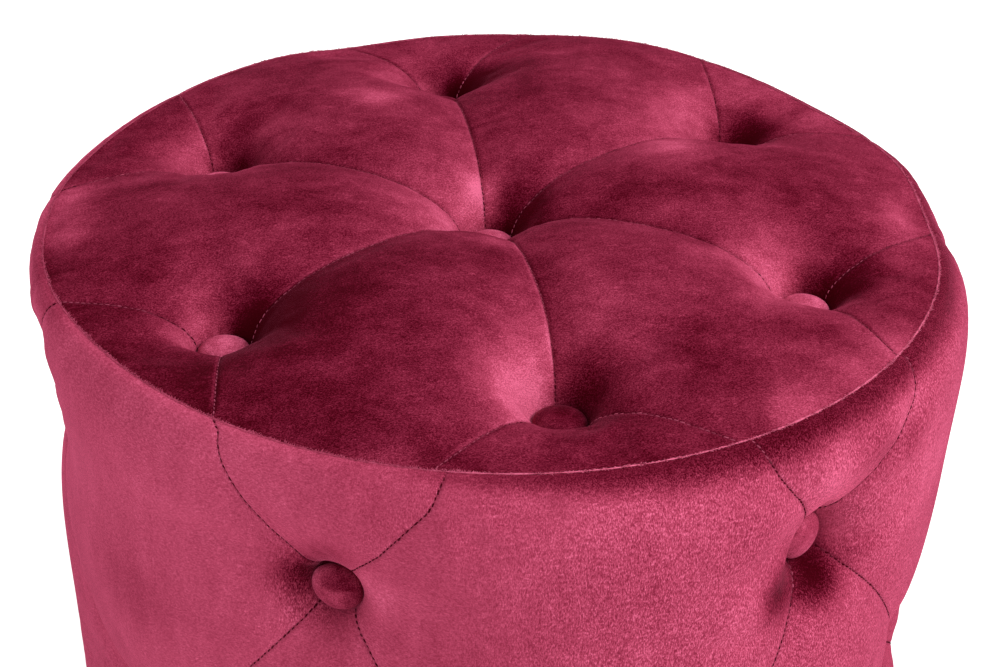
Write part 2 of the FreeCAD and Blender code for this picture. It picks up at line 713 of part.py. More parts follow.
fill_sheet()
boards()
drum_wall()
posts()
stiffening_ring()
post_screws()
soft_layers()
staples("cover_staples", COVER_STAPLE_CIRCLE, COVER_STAPLES, HEM_BOTTOM)
staples("dust_cover_staples", DUST_STAPLE_CIRCLE, DUST_STAPLES, DUST_BOTTOM, DUST_PHASE)
for tuft, tuft_place in {**top_tufts(), **side_tufts()}.items():
    covered_button(tuft, tuft_place)
button_eyes()
twine_and_pins()
dust_cover()
feet()
check_and_write()
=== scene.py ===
"""Round tuffet in deep buttoned velvet: covers, seams, thread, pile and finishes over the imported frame."""

import json
import math

import bpy
import numpy as np
from mathutils import Matrix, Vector
from mathutils.geometry import delaunay_2d_cdt
from mathutils.kdtree import KDTree

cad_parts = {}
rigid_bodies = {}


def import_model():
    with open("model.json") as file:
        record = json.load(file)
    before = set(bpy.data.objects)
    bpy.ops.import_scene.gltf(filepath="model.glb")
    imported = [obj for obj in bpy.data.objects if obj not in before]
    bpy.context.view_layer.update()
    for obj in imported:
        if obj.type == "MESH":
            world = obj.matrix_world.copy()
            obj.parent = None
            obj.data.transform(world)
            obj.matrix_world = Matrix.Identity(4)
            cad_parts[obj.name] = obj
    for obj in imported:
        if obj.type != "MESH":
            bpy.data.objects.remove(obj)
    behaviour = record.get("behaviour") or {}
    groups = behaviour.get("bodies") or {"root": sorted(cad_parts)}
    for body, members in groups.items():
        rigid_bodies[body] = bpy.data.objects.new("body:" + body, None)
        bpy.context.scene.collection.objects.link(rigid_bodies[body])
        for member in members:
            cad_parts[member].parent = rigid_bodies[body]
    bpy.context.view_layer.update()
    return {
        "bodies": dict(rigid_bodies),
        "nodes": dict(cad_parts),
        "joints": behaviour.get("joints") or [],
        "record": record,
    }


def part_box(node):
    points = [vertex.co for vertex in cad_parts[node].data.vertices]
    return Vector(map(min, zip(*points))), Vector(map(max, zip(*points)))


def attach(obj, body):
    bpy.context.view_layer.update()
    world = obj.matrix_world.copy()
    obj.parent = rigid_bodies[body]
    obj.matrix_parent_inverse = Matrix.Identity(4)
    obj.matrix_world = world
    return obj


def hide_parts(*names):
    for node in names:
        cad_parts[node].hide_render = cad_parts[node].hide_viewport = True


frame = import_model()

MM = 0.001
SEEDS = {"crush": 8, "stitches": 11, "tufts": 17, "roll": 29}
UP = np.array([0.0, 0.0, 1.0])

# The rim seam and the round body under it, in mm.
RIM_RADIUS = 208.0
RIM_LEVEL = 415.0
BODY_RADIUS = 223.0
UNROLL = BODY_RADIUS * math.pi / 180
SHOULDER_POWER = 2.3
WAIST_LEVEL = 369.0
FOLD_RADIUS = 34.0
HEM_LEVEL = 21.1
HEM_EDGE = 148.0
HEM_THICKNESS = 1.4

# Where the stuffing would rise to with no buttons in it, in mm over the rim seam.
CROWN_RISE = 23.0
CROWN_FLAT = 80.0
CROWN_FALL = 2.0
SIDE_FULLNESS = 0.6

# Slow swelling of the stuffing: seed, length, height; the side fades it out at the rim and at the hem.
TOP_WAVES = (3, 70.0, 0.8)
SIDE_WAVES = (5, 24.0, 0.7)
WAVE_TURN = 60.0
WAVE_SQUASH = 0.3
RIM_FADE = 25.0
HEM_FADE = 70.0

# Where the side's stuffing is fuller or leaner: azimuth and half width in degrees, height and half height, swell.
SIDE_SWELLS = (
    (180, 60, 385, 40, -1.0), (-20, 50, 385, 40, 1.5), (180, 50, 200, 130, -6.2), (180, 45, 345, 34, -5.6),
)

# Where the rim seam wanders a little: azimuth and half width in degrees, rise, push outwards.
RIM_WAVES = (
    (57, 16, 4.2, 0), (101, 9, -2.0, 0), (114, 7, 1.2, 0), (126, 10, 1.0, 0), (25, 9, -1.0, 0), (5, 9, 2.0, 0),
    (-174, 16, 0, 4.2), (166, 11, 0, 2.2), (-10, 9, -1.0, -2.2),
)
RIM_WAVE_REACH = 45.0

# Where the top's stuffing is fuller or leaner: place, half width, swell.
TOP_SWELLS = ((88, 165, 60, 2.6), (-38, -30, 26, -3.6), (14, -26, 18, -2.0))

# How cloth pulled over stuffing behaves: the distances over which it swells away from seams and from buttons.
TOP_EASE = 30.0
SIDE_EASE = 24.0
BUTTON_EASE = 21.0
BUTTON_REACH = 30.0
SWELL_REACH = 16.0
SETTLE_ROUNDS = 700
SETTLED = 1e-9

# The seat under a button, where the cloth is drawn down flat.
SEAT_RADIUS = 12.2
SEAT_DROP = 0.25
WELL = ((0, 1), (12.2, 1), (13.8, 0.84), (16.3, 0.66), (21, 0.48), (30, 0.29), (42, 0.13), (58, 0.035), (80, 0))

# The seams: how far the top's spokes bow aside, how high each arches between its ends, how it nears the rim.
SPOKE_RISE = 10.0
SPOKE_BOWS = {0: 4.2, 3: -1.3, 4: 3.2, 5: 3.6}
BOW = ((0.25, 0.8), (0.5, 1.0), (0.75, 0.8))
RIM_ARCH = (1.9, 0.6)
OUTER_RISE = 3.2
OUTER_WELL_STRETCH = 1.15
SIDE_SEAM_DEPTH = -4.0

# Sampling of the cloth, in mm: fine along the seams and round the buttons, wider in the open panels.
SEAM_STEP = 1.5
HEM_STEP = 3.0
CURVE_PARTS = 24
FRINGE_ROWS = (0.8, 1.9)
FRINGE_SPARE = 0.93
FRINGE_GAP = 0.9

# Each grain's step, and the distances from a seam between which it is used; nearer than so much to a button,
# cloth counts as lying so near to a seam.
GRAINS = ((1.9, 1.5, 5.5), (2.9, 4.0, 11.0), (4.3, 9.5, 1000.0))
NEAR_BUTTON = ((30.0, 3.0), (46.0, 8.0))

# The crease that thread pulls into the cloth along a seam: its depth, its width, and its fading at the rim.
SEAM_BITE = 0.6
BITE_WIDTH = 0.8
BITE_FADE = 7.0

# Where the seams cross the rim: a pair beside each outer button, each slipped by some degrees.
TOP_COUNT = 6
PITCH = 60.0
FRONT = -90.0
SEAM_SPREAD = 15.9
RIM_SLIPS = {
    (0, -1): -1.2, (0, 1): 1.1, (1, -1): 0.2, (1, 1): 0.1, (2, -1): 0.1, (2, 1): 0.9,
    (3, -1): 1.7, (3, 1): -2.2, (4, -1): 0.2, (4, 1): 0.6, (5, -1): 0.6, (5, 1): 0.9,
}

SIDE_SLIPS = {
    (0, -1): 0.3, (0, 1): 2.6, (1, -1): 1.3, (1, 1): 1.1, (2, -1): -0.6, (2, 1): 0.4,
    (3, -1): 0.9, (3, 1): -0.8, (4, -1): -0.4, (4, 1): 1.2, (5, -1): 0.7, (5, 1): 0.9,
}

# Seams of the side, as steps in mm from an upper button: round the body, and up.
RISERS_LEFT = {
    "plain": ((-10, 17), (-19, 27), (-31, 38), (-42, 50), (-50, 61)),
    6: ((-11, 17), (-16.5, 26), (-24, 35), (-32, 44), (-38.5, 52), (-44.5, 61), (-48, 69), (-50, 75)),
    1: ((-8, 15), (-15, 26), (-23, 38), (-32, 49), (-40, 61)),
}
RISERS_RIGHT = {
    "plain": ((10, 17), (19, 27), (31, 38), (42, 50), (50, 61)),
    6: ((9, 14), (15, 22), (24, 32), (32, 43), (38.5, 51.5), (43.5, 57.5), (47.5, 64)),
    1: ((7, 9), (12.5, 15.5), (19, 23), (28.5, 32), (39, 41), (47, 51), (54, 60)),
}
FALLS_LEFT = {
    "plain": ((-14, -19), (-30, -42), (-58, -78)),
    6: ((-9, -10), (-16, -18), (-25, -29), (-36, -43), (-70, -86)),
    1: ((-6, -12), (-14, -22), (-22, -36), (-30, -52), (-48, -80), (-76, -108)),
}
FALLS_RIGHT = {
    "plain": ((14, -19), (30, -42), (58, -78)),
    6: ((9, -11), (17, -19), (26, -31), (42, -54), (72, -92)),
    1: ((10.5, -9), (19, -18), (28.5, -27.5), (47, -48), (76, -84)),
}


def nearest_turn(place, whole, start=0.0):
    """A place on a closed loop, moved whole turns to lie within half a turn of the start."""
    return start + (place - start + whole / 2) % whole - whole / 2


def on_circle(radius, degrees):
    return (radius * math.cos(math.radians(degrees)), radius * math.sin(math.radians(degrees)))


def lengths_along(points):
    return np.r_[0, np.cumsum(np.linalg.norm(np.diff(points, axis=0), axis=1))]


def read_between(where, run, rows):
    """Rows of values, such as places, read at some lengths along a line."""
    return np.stack([np.interp(where, run, rows[:, i]) for i in range(rows.shape[1])], -1)


def smooth_line(points, step):
    """A smooth curve through the points, divided evenly at about the step."""
    points = np.array(points, float)
    ends = np.vstack([2 * points[0] - points[1], points, 2 * points[-1] - points[-2]])
    t = np.linspace(0, 1, CURVE_PARTS, endpoint=False)[:, None]
    pieces = [
        0.5 * (2 * b + (c - a) * t + (2 * a - 5 * b + 4 * c - d) * t**2 + (3 * b - a - 3 * c + d) * t**3)
        for a, b, c, d in zip(ends, ends[1:], ends[2:], ends[3:])
    ]
    dense = np.vstack(pieces + [points[-1:]])
    run = lengths_along(dense)
    return read_between(np.linspace(0, run[-1], max(2, round(run[-1] / step)) + 1), run, dense)


def well_share(distance):
    """How much of a button's pull is left at a distance from it, from 1 to 0."""
    reach, share = zip(*WELL)
    return np.interp(distance, reach, share)


class Cover:
    """One cover laid out flat in mm: its points, the seams between its panels, and how deep each is held."""

    def __init__(self, around=None):
        self.flat, self.triangles, self.panel_of, self.buttons = [], [], [], []
        self.lines, self.held = {}, {}
        self.around = around

    def point(self, at, depth=None):
        """Keeps a flat place, held at a depth or free, and gives its number."""
        self.flat.append((float(at[0]), float(at[1])))
        if depth is not None:
            self.held[len(self.flat) - 1] = float(depth)
        return len(self.flat) - 1

    def line(self, name, start, points, end, depths):
        """Keeps a seam from point start to point end, with the points between them."""
        self.lines[name] = [start] + [self.point(p, d) for p, d in zip(points[1:-1], depths[1:-1])] + [end]

    def loop(self, *names):
        """The closed outline made by these seams in turn; a name with a leading minus runs backwards."""
        ids = []
        for name in names:
            part = self.lines[name.lstrip("-")]
            part = part[::-1] if name.startswith("-") else part
            ids += part if not ids else part[1:]
        return ids[:-1]

    def steps(self, across):
        """Steps across the layout, taken the short way where it closes on itself."""
        return nearest_turn(across, self.around) if self.around else across

    def local(self, ids):
        """Flat places of some points, brought to one side of the join where the layout closes on itself."""
        places = np.array([self.flat[i] for i in ids])
        if self.around:
            places[:, 0] = nearest_turn(places[:, 0], self.around, places[0, 0])
        return places

    def button_distance(self, places):
        nearest = np.full(len(places), 1e9)
        for x, y in self.buttons:
            nearest = np.minimum(nearest, np.hypot(self.steps(places[:, 0] - x), places[:, 1] - y))
        return nearest


def inside(outline, places):
    """Which places lie inside a closed outline."""
    x, y = places[:, 0], places[:, 1]
    within = np.zeros(len(places), bool)
    for (ax, ay), (bx, by) in zip(outline, np.roll(outline, -1, 0)):
        crosses = (ay > y) != (by > y)
        if crosses.any():
            within ^= crosses & (x < (bx - ax) * (y - ay) / (by - ay + 1e-12) + ax)
    return within


def distance_to(outline, places):
    """How far each place is from the outline's points."""
    best = np.full(len(places), 1e9)
    for start in range(0, len(outline), 64):
        part = outline[start : start + 64]
        gap = np.hypot(places[:, None, 0] - part[None, :, 0], places[:, None, 1] - part[None, :, 1])
        best = np.minimum(best, gap.min(1))
    return best


def honeycomb(low, high, step):
    """Rows of evenly spaced places over a box, every other row shifted by half a step."""
    rows = np.arange(low[1], high[1] + step, step * 0.866)
    columns = np.arange(low[0], high[0] + step, step)
    x, y = np.meshgrid(columns, rows)
    x = x + (np.arange(len(rows)) % 2)[:, None] * step / 2
    return np.stack([x.ravel(), y.ravel()], 1)


def rows_beside(outline):
    """Places just inside the outline, so that the cloth turns into the seam sharply."""
    ahead, behind = np.roll(outline, -1, 0), np.roll(outline, 1, 0)
    along = ahead - behind
    along /= np.linalg.norm(along, axis=1)[:, None] + 1e-12
    inward = np.stack([-along[:, 1], along[:, 0]], 1)
    found = []
    for offset in FRINGE_ROWS:
        places = outline + inward * offset
        places = places[inside(outline, places)]
        found.append(places[distance_to(outline, places) > offset * FRINGE_SPARE])
    return np.vstack(found)


def fill_panel(cover, ids, number):
    """Divides one panel into triangles, fine at its seams and buttons and wider in the open."""
    outline = cover.local(ids)
    area = np.sum(outline[:, 0] * np.roll(outline[:, 1], -1) - outline[:, 1] * np.roll(outline[:, 0], -1)) / 2
    if area < 0:
        ids, outline = ids[::-1], outline[::-1]
    chosen = [rows_beside(outline)]
    limits, pulls = zip(*NEAR_BUTTON)
    for step, nearest, furthest in GRAINS:
        places = honeycomb(outline.min(0), outline.max(0), step)
        places = places[inside(outline, places)]
        edge, button = distance_to(outline, places), cover.button_distance(places)
        reach = np.minimum(edge, np.select([button < limit for limit in limits], pulls, 1e3))
        chosen.append(places[(reach >= nearest) & (reach < furthest) & (edge > FRINGE_ROWS[-1] + FRINGE_GAP)])
    count = len(outline)
    points = [tuple(p) for p in np.vstack([outline, *chosen])]
    made, _, faces, origin, _, _ = delaunay_2d_cdt(points, [], [list(range(count))], 1, 1e-6)
    names = {}
    for i, sources in enumerate(origin):
        source = min(sources) if sources else -1
        names[i] = ids[source] if 0 <= source < count else cover.point(made[i])
    for face in faces:
        cover.triangles.append([names[i] for i in face])
        cover.panel_of.append(number)


def cotangent_pull(places, triangles):
    """Pairs of joined points, and the strength of each join."""
    a, b, c = (places[triangles[:, i]] for i in range(3))
    area = np.abs(np.cross(b - a, c - a)) / 2 + 1e-9
    pairs, pulls = [], []
    for i, (p, q, r) in enumerate(((a, b, c), (b, c, a), (c, a, b))):
        cosine = np.sum((q - p) * (r - p), 1)
        pairs.append(triangles[:, [(i + 1) % 3, (i + 2) % 3]])
        pulls.append(np.maximum(cosine / (4 * area), 0.01))
    return np.vstack(pairs), np.hstack(pulls)


def settle(pairs, pulls, share, rest, held, held_depth):
    """Heights of cloth over stuffing: free points rise to the rest height against the pull of their neighbours."""
    first, second, size = pairs[:, 0], pairs[:, 1], len(rest)
    total = np.bincount(first, pulls, size) + np.bincount(second, pulls, size)
    diagonal = total + share + 1e-12

    def apply(values):
        spread = np.bincount(first, pulls * values[second], size) + np.bincount(second, pulls * values[first], size)
        return diagonal * values - spread

    depth = rest.copy()
    depth[held] = held_depth
    free = np.ones(size)
    free[held] = 0
    gap = (share * rest - apply(depth)) * free
    push = gap / diagonal
    heading = push.copy()
    power = gap @ push
    for _ in range(SETTLE_ROUNDS):
        turned = apply(heading) * free
        stride = power / (heading @ turned + 1e-30)
        depth += stride * heading
        gap -= stride * turned
        push = gap / diagonal
        new_power = gap @ push
        if new_power < SETTLED:
            break
        heading = push + (new_power / power) * heading
        power = new_power
    return depth


def soft_waves(seed, places, length, count=14):
    """Slow uneven swelling of hand-laid stuffing, from -1 to 1."""
    rng = np.random.default_rng(seed)
    total = np.zeros(len(places))
    for _ in range(count):
        heading = rng.normal(size=places.shape[1])
        heading /= np.linalg.norm(heading)
        size = length * rng.uniform(0.6, 1.7)
        total += np.sin(places @ heading * 2 * math.pi / size + rng.uniform(0, 2 * math.pi))
    return total / math.sqrt(count)


# ---- the two covers laid out flat ----


def rim_crossing(slips, top, side):
    return FRONT + PITCH * top + side * SEAM_SPREAD + slips[(top, side)]


def rim_corners(cover, slips, place):
    """The points where seams meet the rim; place gives the flat place of an azimuth."""
    return {
        (k, side): cover.point(place(rim_crossing(slips, k, side)), 0) for k in range(TOP_COUNT) for side in (-1, 1)
    }


def rim_seam(cover, slips, corners, place):
    """The rim seam as twelve lines between a cover's corners."""
    for k in range(TOP_COUNT):
        after = ((k + 1) % TOP_COUNT, -1)
        left, right = rim_crossing(slips, k, -1), rim_crossing(slips, k, 1)
        following = rim_crossing(slips, *after) + (360 if k == TOP_COUNT - 1 else 0)
        for name, a, b, start, end in (
            (f"rim_front_{k}", left, right, (k, -1), (k, 1)), (f"rim_gap_{k}", right, following, (k, 1), after),
        ):
            count = round(math.radians(b - a) * RIM_RADIUS / SEAM_STEP) + 1
            points = [place(azimuth) for azimuth in np.linspace(a, b, count)]
            cover.line(name, corners[start], points, corners[end], np.zeros(count))


def seam_depths(points, start, end, middle, stretch=1.0):
    """Depth along a seam: down at a button seat, arched up to middle between; an end of None is the rim."""
    run = lengths_along(points)
    whole = run[-1]
    down = well_share(run * stretch)
    if end is None:
        arch = middle * np.clip(RIM_ARCH[0] * (1 - run / whole), 0, 1) ** RIM_ARCH[1]
        return arch + (start - arch) * down
    arch, up = middle * np.ones(len(run)), well_share((whole - run) * stretch)
    return arch + (start - arch) * down + (end - arch) * up - (start - arch) * down * up


def lay_out_top(buttons):
    """The top cover seen from above: six kites between the spokes and six small panels outside the buttons."""
    def rim_place(azimuth):
        return on_circle(RIM_RADIUS, azimuth)

    cover = Cover()
    seat = {name: at[2] - RIM_LEVEL - SEAT_DROP for name, at in buttons.items()}
    spots = {name: cover.point(at[:2], seat[name]) for name, at in buttons.items()}
    cover.buttons = [at[:2] for at in buttons.values()]
    corners = rim_corners(cover, RIM_SLIPS, rim_place)
    for k in range(TOP_COUNT):
        centre, outer = "top_button_centre", f"top_button_{k + 1}"
        start, end = buttons[centre][:2], buttons[outer][:2]
        aside = np.array([start[1] - end[1], end[0] - start[0]]) / np.linalg.norm(end - start)
        bowed = [start + (end - start) * share + aside * SPOKE_BOWS.get(k, 0) * lean for share, lean in BOW]
        points = smooth_line([start, *bowed, end], SEAM_STEP)
        depths = seam_depths(points, seat[centre], seat[outer], SPOKE_RISE)
        cover.line(f"spoke_{k}", spots[centre], points, spots[outer], depths)
        for name, side in (("left", -1), ("right", 1)):
            points = smooth_line([end, cover.flat[corners[k, side]]], SEAM_STEP)
            depths = seam_depths(points, seat[outer], None, OUTER_RISE, OUTER_WELL_STRETCH)
            cover.line(f"outer_{k}_{name}", spots[outer], points, corners[k, side], depths)
    rim_seam(cover, RIM_SLIPS, corners, rim_place)
    for k in range(TOP_COUNT):
        j = (k + 1) % TOP_COUNT
        fill_panel(cover, cover.loop(f"outer_{k}_left", f"rim_front_{k}", f"-outer_{k}_right"), 2 * k)
        kite = cover.loop(f"spoke_{k}", f"outer_{k}_right", f"rim_gap_{k}", f"-outer_{j}_left", f"-spoke_{j}")
        fill_panel(cover, kite, 2 * k + 1)
    return cover


def side_section():
    """The body's outline from the rim seam down and under to the hem edge: run, radius, height."""
    angle = np.linspace(0, math.pi / 2, 60)
    out, up = np.sin(angle) ** (2 / SHOULDER_POWER), np.cos(angle) ** (2 / SHOULDER_POWER)
    fold_level, inner = HEM_LEVEL + FOLD_RADIUS, BODY_RADIUS - FOLD_RADIUS
    turn = np.linspace(0, math.pi / 2, 40)
    parts = (
        (RIM_RADIUS + (BODY_RADIUS - RIM_RADIUS) * out, WAIST_LEVEL + (RIM_LEVEL - WAIST_LEVEL) * up),
        (np.full(60, BODY_RADIUS), np.linspace(WAIST_LEVEL, fold_level, 60)),
        (inner + FOLD_RADIUS * np.cos(turn), fold_level - FOLD_RADIUS * np.sin(turn)),
        (np.linspace(inner, HEM_EDGE, 20), np.full(20, HEM_LEVEL)),
    )
    points = np.vstack([np.stack(part, 1)[min(number, 1) :] for number, part in enumerate(parts)])
    return lengths_along(points), points[:, 0], points[:, 1]


def lay_out_side(buttons, section):
    """The side cover unrolled: mm round the body, and mm up from the rim seam, so the hem is at the foot."""
    run, _, level = section
    body = slice(0, np.argmin(np.abs(level - HEM_LEVEL - FOLD_RADIUS)) + 1)
    cover = Cover(around=360 * UNROLL)
    places, spots = {}, {}
    for name, at in buttons.items():
        drop = -np.interp(-at[2], -level[body], run[body])
        places[name] = np.array([math.degrees(math.atan2(at[1], at[0])) * UNROLL, drop])
        spots[name] = cover.point(places[name], math.hypot(at[0], at[1]) - BODY_RADIUS - SEAT_DROP)
        cover.buttons.append(tuple(places[name]))

    def rim_place(azimuth):
        return azimuth * UNROLL, 0

    def unroll_near(place, anchor):
        """A place moved whole turns round the body to lie near the anchor."""
        return np.array([nearest_turn(place[0], cover.around, anchor[0]), place[1]])

    def seam(name, start, steps, end, end_place, down):
        """A seam from an upper or lower button, by steps from it, to another point."""
        begin = places[start]
        stops = [begin] + [begin + np.array(step) for step in steps] + [unroll_near(end_place, begin)]
        points = smooth_line(stops, SEAM_STEP)
        seat = cover.held[spots[start]]
        cover.line(name, spots[start], points, end, seam_depths(points, seat, seat if down else None, SIDE_SEAM_DEPTH))

    corners = rim_corners(cover, SIDE_SLIPS, rim_place)
    rim_seam(cover, SIDE_SLIPS, corners, rim_place)
    for j in range(TOP_COUNT):
        number, following = j + 1, (j + 1) % TOP_COUNT
        upper, lower = f"side_button_upper_{number}", f"side_button_lower_{number}"
        sides = (
            ("left", RISERS_LEFT, FALLS_LEFT, corners[j, 1], f"side_button_middle_{number}"),
            ("right", RISERS_RIGHT, FALLS_RIGHT, corners[following, -1], f"side_button_middle_{following + 1}"),
        )
        for side, risers, _, corner, _ in sides:
            seam(f"riser_{side}_{j}", upper, risers.get(number, risers["plain"]), corner, cover.flat[corner], False)
        for side, _, falls, _, middle in sides:
            seam(f"fall_{side}_{j}", upper, falls.get(number, falls["plain"]), spots[middle], places[middle], True)
        for side, _, falls, _, middle in sides:
            steps = [(x, -y) for x, y in falls["plain"]]
            seam(f"rise_{side}_{j}", lower, steps, spots[middle], places[middle], True)
        hem = cover.point((places[lower][0], -run[-1]), 0)
        points = smooth_line([places[lower], cover.flat[hem]], SEAM_STEP)
        depths = seam_depths(points, cover.held[spots[lower]], None, SIDE_SEAM_DEPTH)
        cover.line(f"drop_{j}", spots[lower], points, hem, depths)
    for j in range(TOP_COUNT):
        a, b = cover.lines[f"drop_{(j - 1) % TOP_COUNT}"][-1], cover.lines[f"drop_{j}"][-1]
        start = np.array(cover.flat[a])
        points = smooth_line([start, unroll_near(cover.flat[b], start + (PITCH * UNROLL, 0))], HEM_STEP)
        cover.line(f"hem_{j}", a, points, b, np.zeros(len(points)))
    for j in range(TOP_COUNT):
        i = (j - 1) % TOP_COUNT
        outlines = (
            (f"rim_gap_{j}", f"-riser_right_{j}", f"riser_left_{j}"),
            (f"rim_front_{j}", f"-riser_left_{j}", f"fall_left_{j}", f"-fall_right_{i}", f"riser_right_{i}"),
            (f"fall_right_{j}", f"-rise_right_{j}", f"rise_left_{j}", f"-fall_left_{j}"),
            (f"-rise_left_{j}", f"drop_{j}", f"-hem_{j}", f"-drop_{i}", f"rise_right_{i}"),
        )
        for number, names in enumerate(outlines):
            fill_panel(cover, cover.loop(*names), 4 * j + number)
    return cover


# Darker patches beside the buttons, partly pressed pile and partly painted shade in the hollows: step round, step up,
# size, strength; the other side buttons draw theirs by chance.
TOP_CRUSH_AND_SHADE = [(16, 8, 17, 0.7)] * 4 + [(13, 5, 11, 0.7)] + [(16, 8, 17, 0.7)] * 2
SIDE_CRUSH_AND_SHADE = {"side_button_upper_6": (-12, 7, 13, 1.0), "side_button_upper_1": (5, -17, 14, 1.0)}
USUAL_CRUSH_AND_SHADE = ((-14, 14), (-14, 4), (12, 17))
USUAL_CRUSH_AND_SHADE_STRENGTH = 0.8

# The heading of the nap, which also points towards the light; and its lie in each panel of the top: its tone, and how
# strongly slopes change it. Slopes turned along the heading are painted lighter and slopes against it darker, partly
# the nap and partly painted light and shade.
NAP_AND_LIGHT_HEADING = np.array([0.982, -0.19, 0.0])
MOST_SLOPE = 0.6
TOP_LAY_AND_SHADING = (
    (0.25, 0.35), (0.31, 0.30), (0.29, 0.34), (0.32, 0.44), (0.38, 0.36), (0.32, 0.40),
    (0.35, 0.60), (0.34, 0.44), (0.24, 0.62), (0.28, 0.62), (0.12, 1.00), (0.23, 0.85),
)
SIDE_TONE = 0.66

# Under the rim seam a darker band of painted shade where the shoulder turns upward, partly the nap lying against the
# light: azimuth, how much darker, how far down the cloth in mm.
SHOULDER_SHADE = (
    (-112, 0, 6), (-101, 0.3, 11), (-90, 0.5, 16), (-79, 0.5, 19), (-67, 0.5, 22), (-45, 0.47, 20),
    (-30, 0.5, 21), (-15, 0.43, 15), (30, 0.4, 12), (155, 0.25, 14), (170, 0, 8), (187, 0.22, 20),
    (205, 0, 8), (248, 0, 6),
)
SHOULDER_HELD = 0.2

# Lighter and darker patches, partly brushed pile and partly painted light and shade: place on the flat cover, size,
# how much lighter.
TOP_STROKES_AND_SHADING = (
    (116, -76, 28, 0.4), (78, -76, 12, 0.15), (142, -62, 10, 0.2), (180, -66, 14, 0.2), (188, -38, 12, 0.2),
    (96, -108, 12, 0.15), (114, -134, 13, -0.14), (148, -142, 16, 0.32), (124, -164, 12, 0.24),
    (92, -184, 20, 0.36), (154, -14, 30, -0.16), (162, 98, 45, 0.14), (122, 104, 14, 0.2),
    (135, 73, 8, -0.14), (90, 30, 20, 0.4), (50, 98, 22, -0.12), (20, 172, 14, 0.2), (-44, 101, 14, 0.4),
    (-107, 90, 12, 0.28), (-138, 98, 12, 0.22), (-100, 76, 30, 0.28), (-3, 24, 9, 0.34), (0, 10, 45, 0.2),
    (-11, -41, 10, 0.2), (-20, -62, 16, -0.14), (24, -106, 12, 0.15), (25, -140, 18, 0.2),
    (-6, -142, 30, 0.25), (58, -150, 20, -0.13), (-78, -190, 20, 0.15), (-118, -54, 30, 0.17),
    (-170, -45, 22, -0.1), (-203, -30, 8, -0.16), (-80, -3, 20, -0.1), (-150, 15, 40, 0.08),
    (-198, 0, 13, 0.3), (-198, 22, 13, 0.32), (-198, 44, 13, 0.42),
)
SIDE_STROKES_AND_SHADING = (
    (-668, -35, 16, -0.14), (-620, -70, 28, 0.12), (-545, -70, 80, 0.08), (-563, -112, 24, -0.18),
    (-477, -68, 10, -0.2), (-462, -52, 10, -0.26), (-462, -94, 11, -0.12), (-440, -68, 12, 0.14),
    (-400, -114, 40, -0.1), (-338, -10, 28, 0.1), (-275, -85, 18, 0.14), (-256, -88, 13, -0.62),
    (-238, -99, 8, -0.25), (-226, -98, 10, -0.3), (-200, -92, 10, -0.16), (-235, -34, 13, 0.2),
    (-190, -26, 12, 0.2), (-178, -40, 10, -0.12),
)
STROKE_TURNS = (120.0, 240.0)

# How far a seam and a button's well mark the pile round them: at a seam a dark line, partly parted pile and partly
# painted shade in the crease, in a well painted shade; and the nap of the lining.
SEAM_SHOWS = 0.75
WELL_EDGE, WELL_SHOWS = 8.0, 9.0
LINING_NAP = 0.4

# The linings behind the covers' open edges, each row a radius and a height.
TOP_LINING = ((206.0, 408.0), (200.0, 396.0), (188.0, 386.0), (90.0, 384.0))
RIM_LINING = ((203.0, 406.0), (186.0, 398.0), (171.0, 380.0))
HEM_LINING = ((HEM_EDGE, HEM_LEVEL + HEM_THICKNESS), (171.0, HEM_LEVEL + HEM_THICKNESS))

# ---- the covers stuffed ----


def stuffed_depths(cover, rest, ease, from_rim):
    """How far each point of a cover lies from its unbuttoned place once seams and buttons hold it."""
    places, triangles = np.array(cover.flat), np.array(cover.triangles)
    corners = places[triangles]
    if cover.around:
        corners[:, :, 0] = nearest_turn(corners[:, :, 0], cover.around, corners[:, :1, 0])
    loose = corners.reshape(-1, 2)
    pairs, pulls = cotangent_pull(loose, np.arange(len(loose)).reshape(-1, 3))
    pairs = triangles.ravel()[pairs]
    edge_a, edge_b = corners[:, 1] - corners[:, 0], corners[:, 2] - corners[:, 0]
    area = np.abs(edge_a[:, 0] * edge_b[:, 1] - edge_a[:, 1] * edge_b[:, 0]) / 2
    share = np.bincount(triangles.ravel(), np.repeat(area / 3, 3), len(places))
    button = cover.button_distance(places)
    reach = BUTTON_EASE + (ease - BUTTON_EASE) * np.clip((button - SEAT_RADIUS) / BUTTON_REACH, 0, 1)
    pulls = pulls * (reach[pairs[:, 0]] * reach[pairs[:, 1]])
    held = dict(cover.held)
    for number, (x, y) in enumerate(cover.buttons):
        away = np.hypot(cover.steps(places[:, 0] - x), places[:, 1] - y)
        held.update((int(i), cover.held[number]) for i in np.nonzero(away < SEAT_RADIUS)[0])
    ids = np.array(sorted(held))
    depth = settle(pairs, pulls, share, rest, ids, np.array([held[i] for i in ids]))
    seams = sorted({i for name, line in cover.lines.items() if not name.startswith(("rim", "hem")) for i in line})
    gap = np.hstack([distance_to(places[seams], places[i : i + 4000]) for i in range(0, len(places), 4000)])
    held_back = (button > SEAT_RADIUS + 1) * np.clip(from_rim / BITE_FADE, 0, 1)
    return depth - SEAM_BITE * np.exp(-((gap / BITE_WIDTH) ** 2)) * held_back, gap, button


def smooth_step(value, low, high):
    share = np.clip((value - low) / (high - low), 0, 1)
    return share * share * (3 - 2 * share)


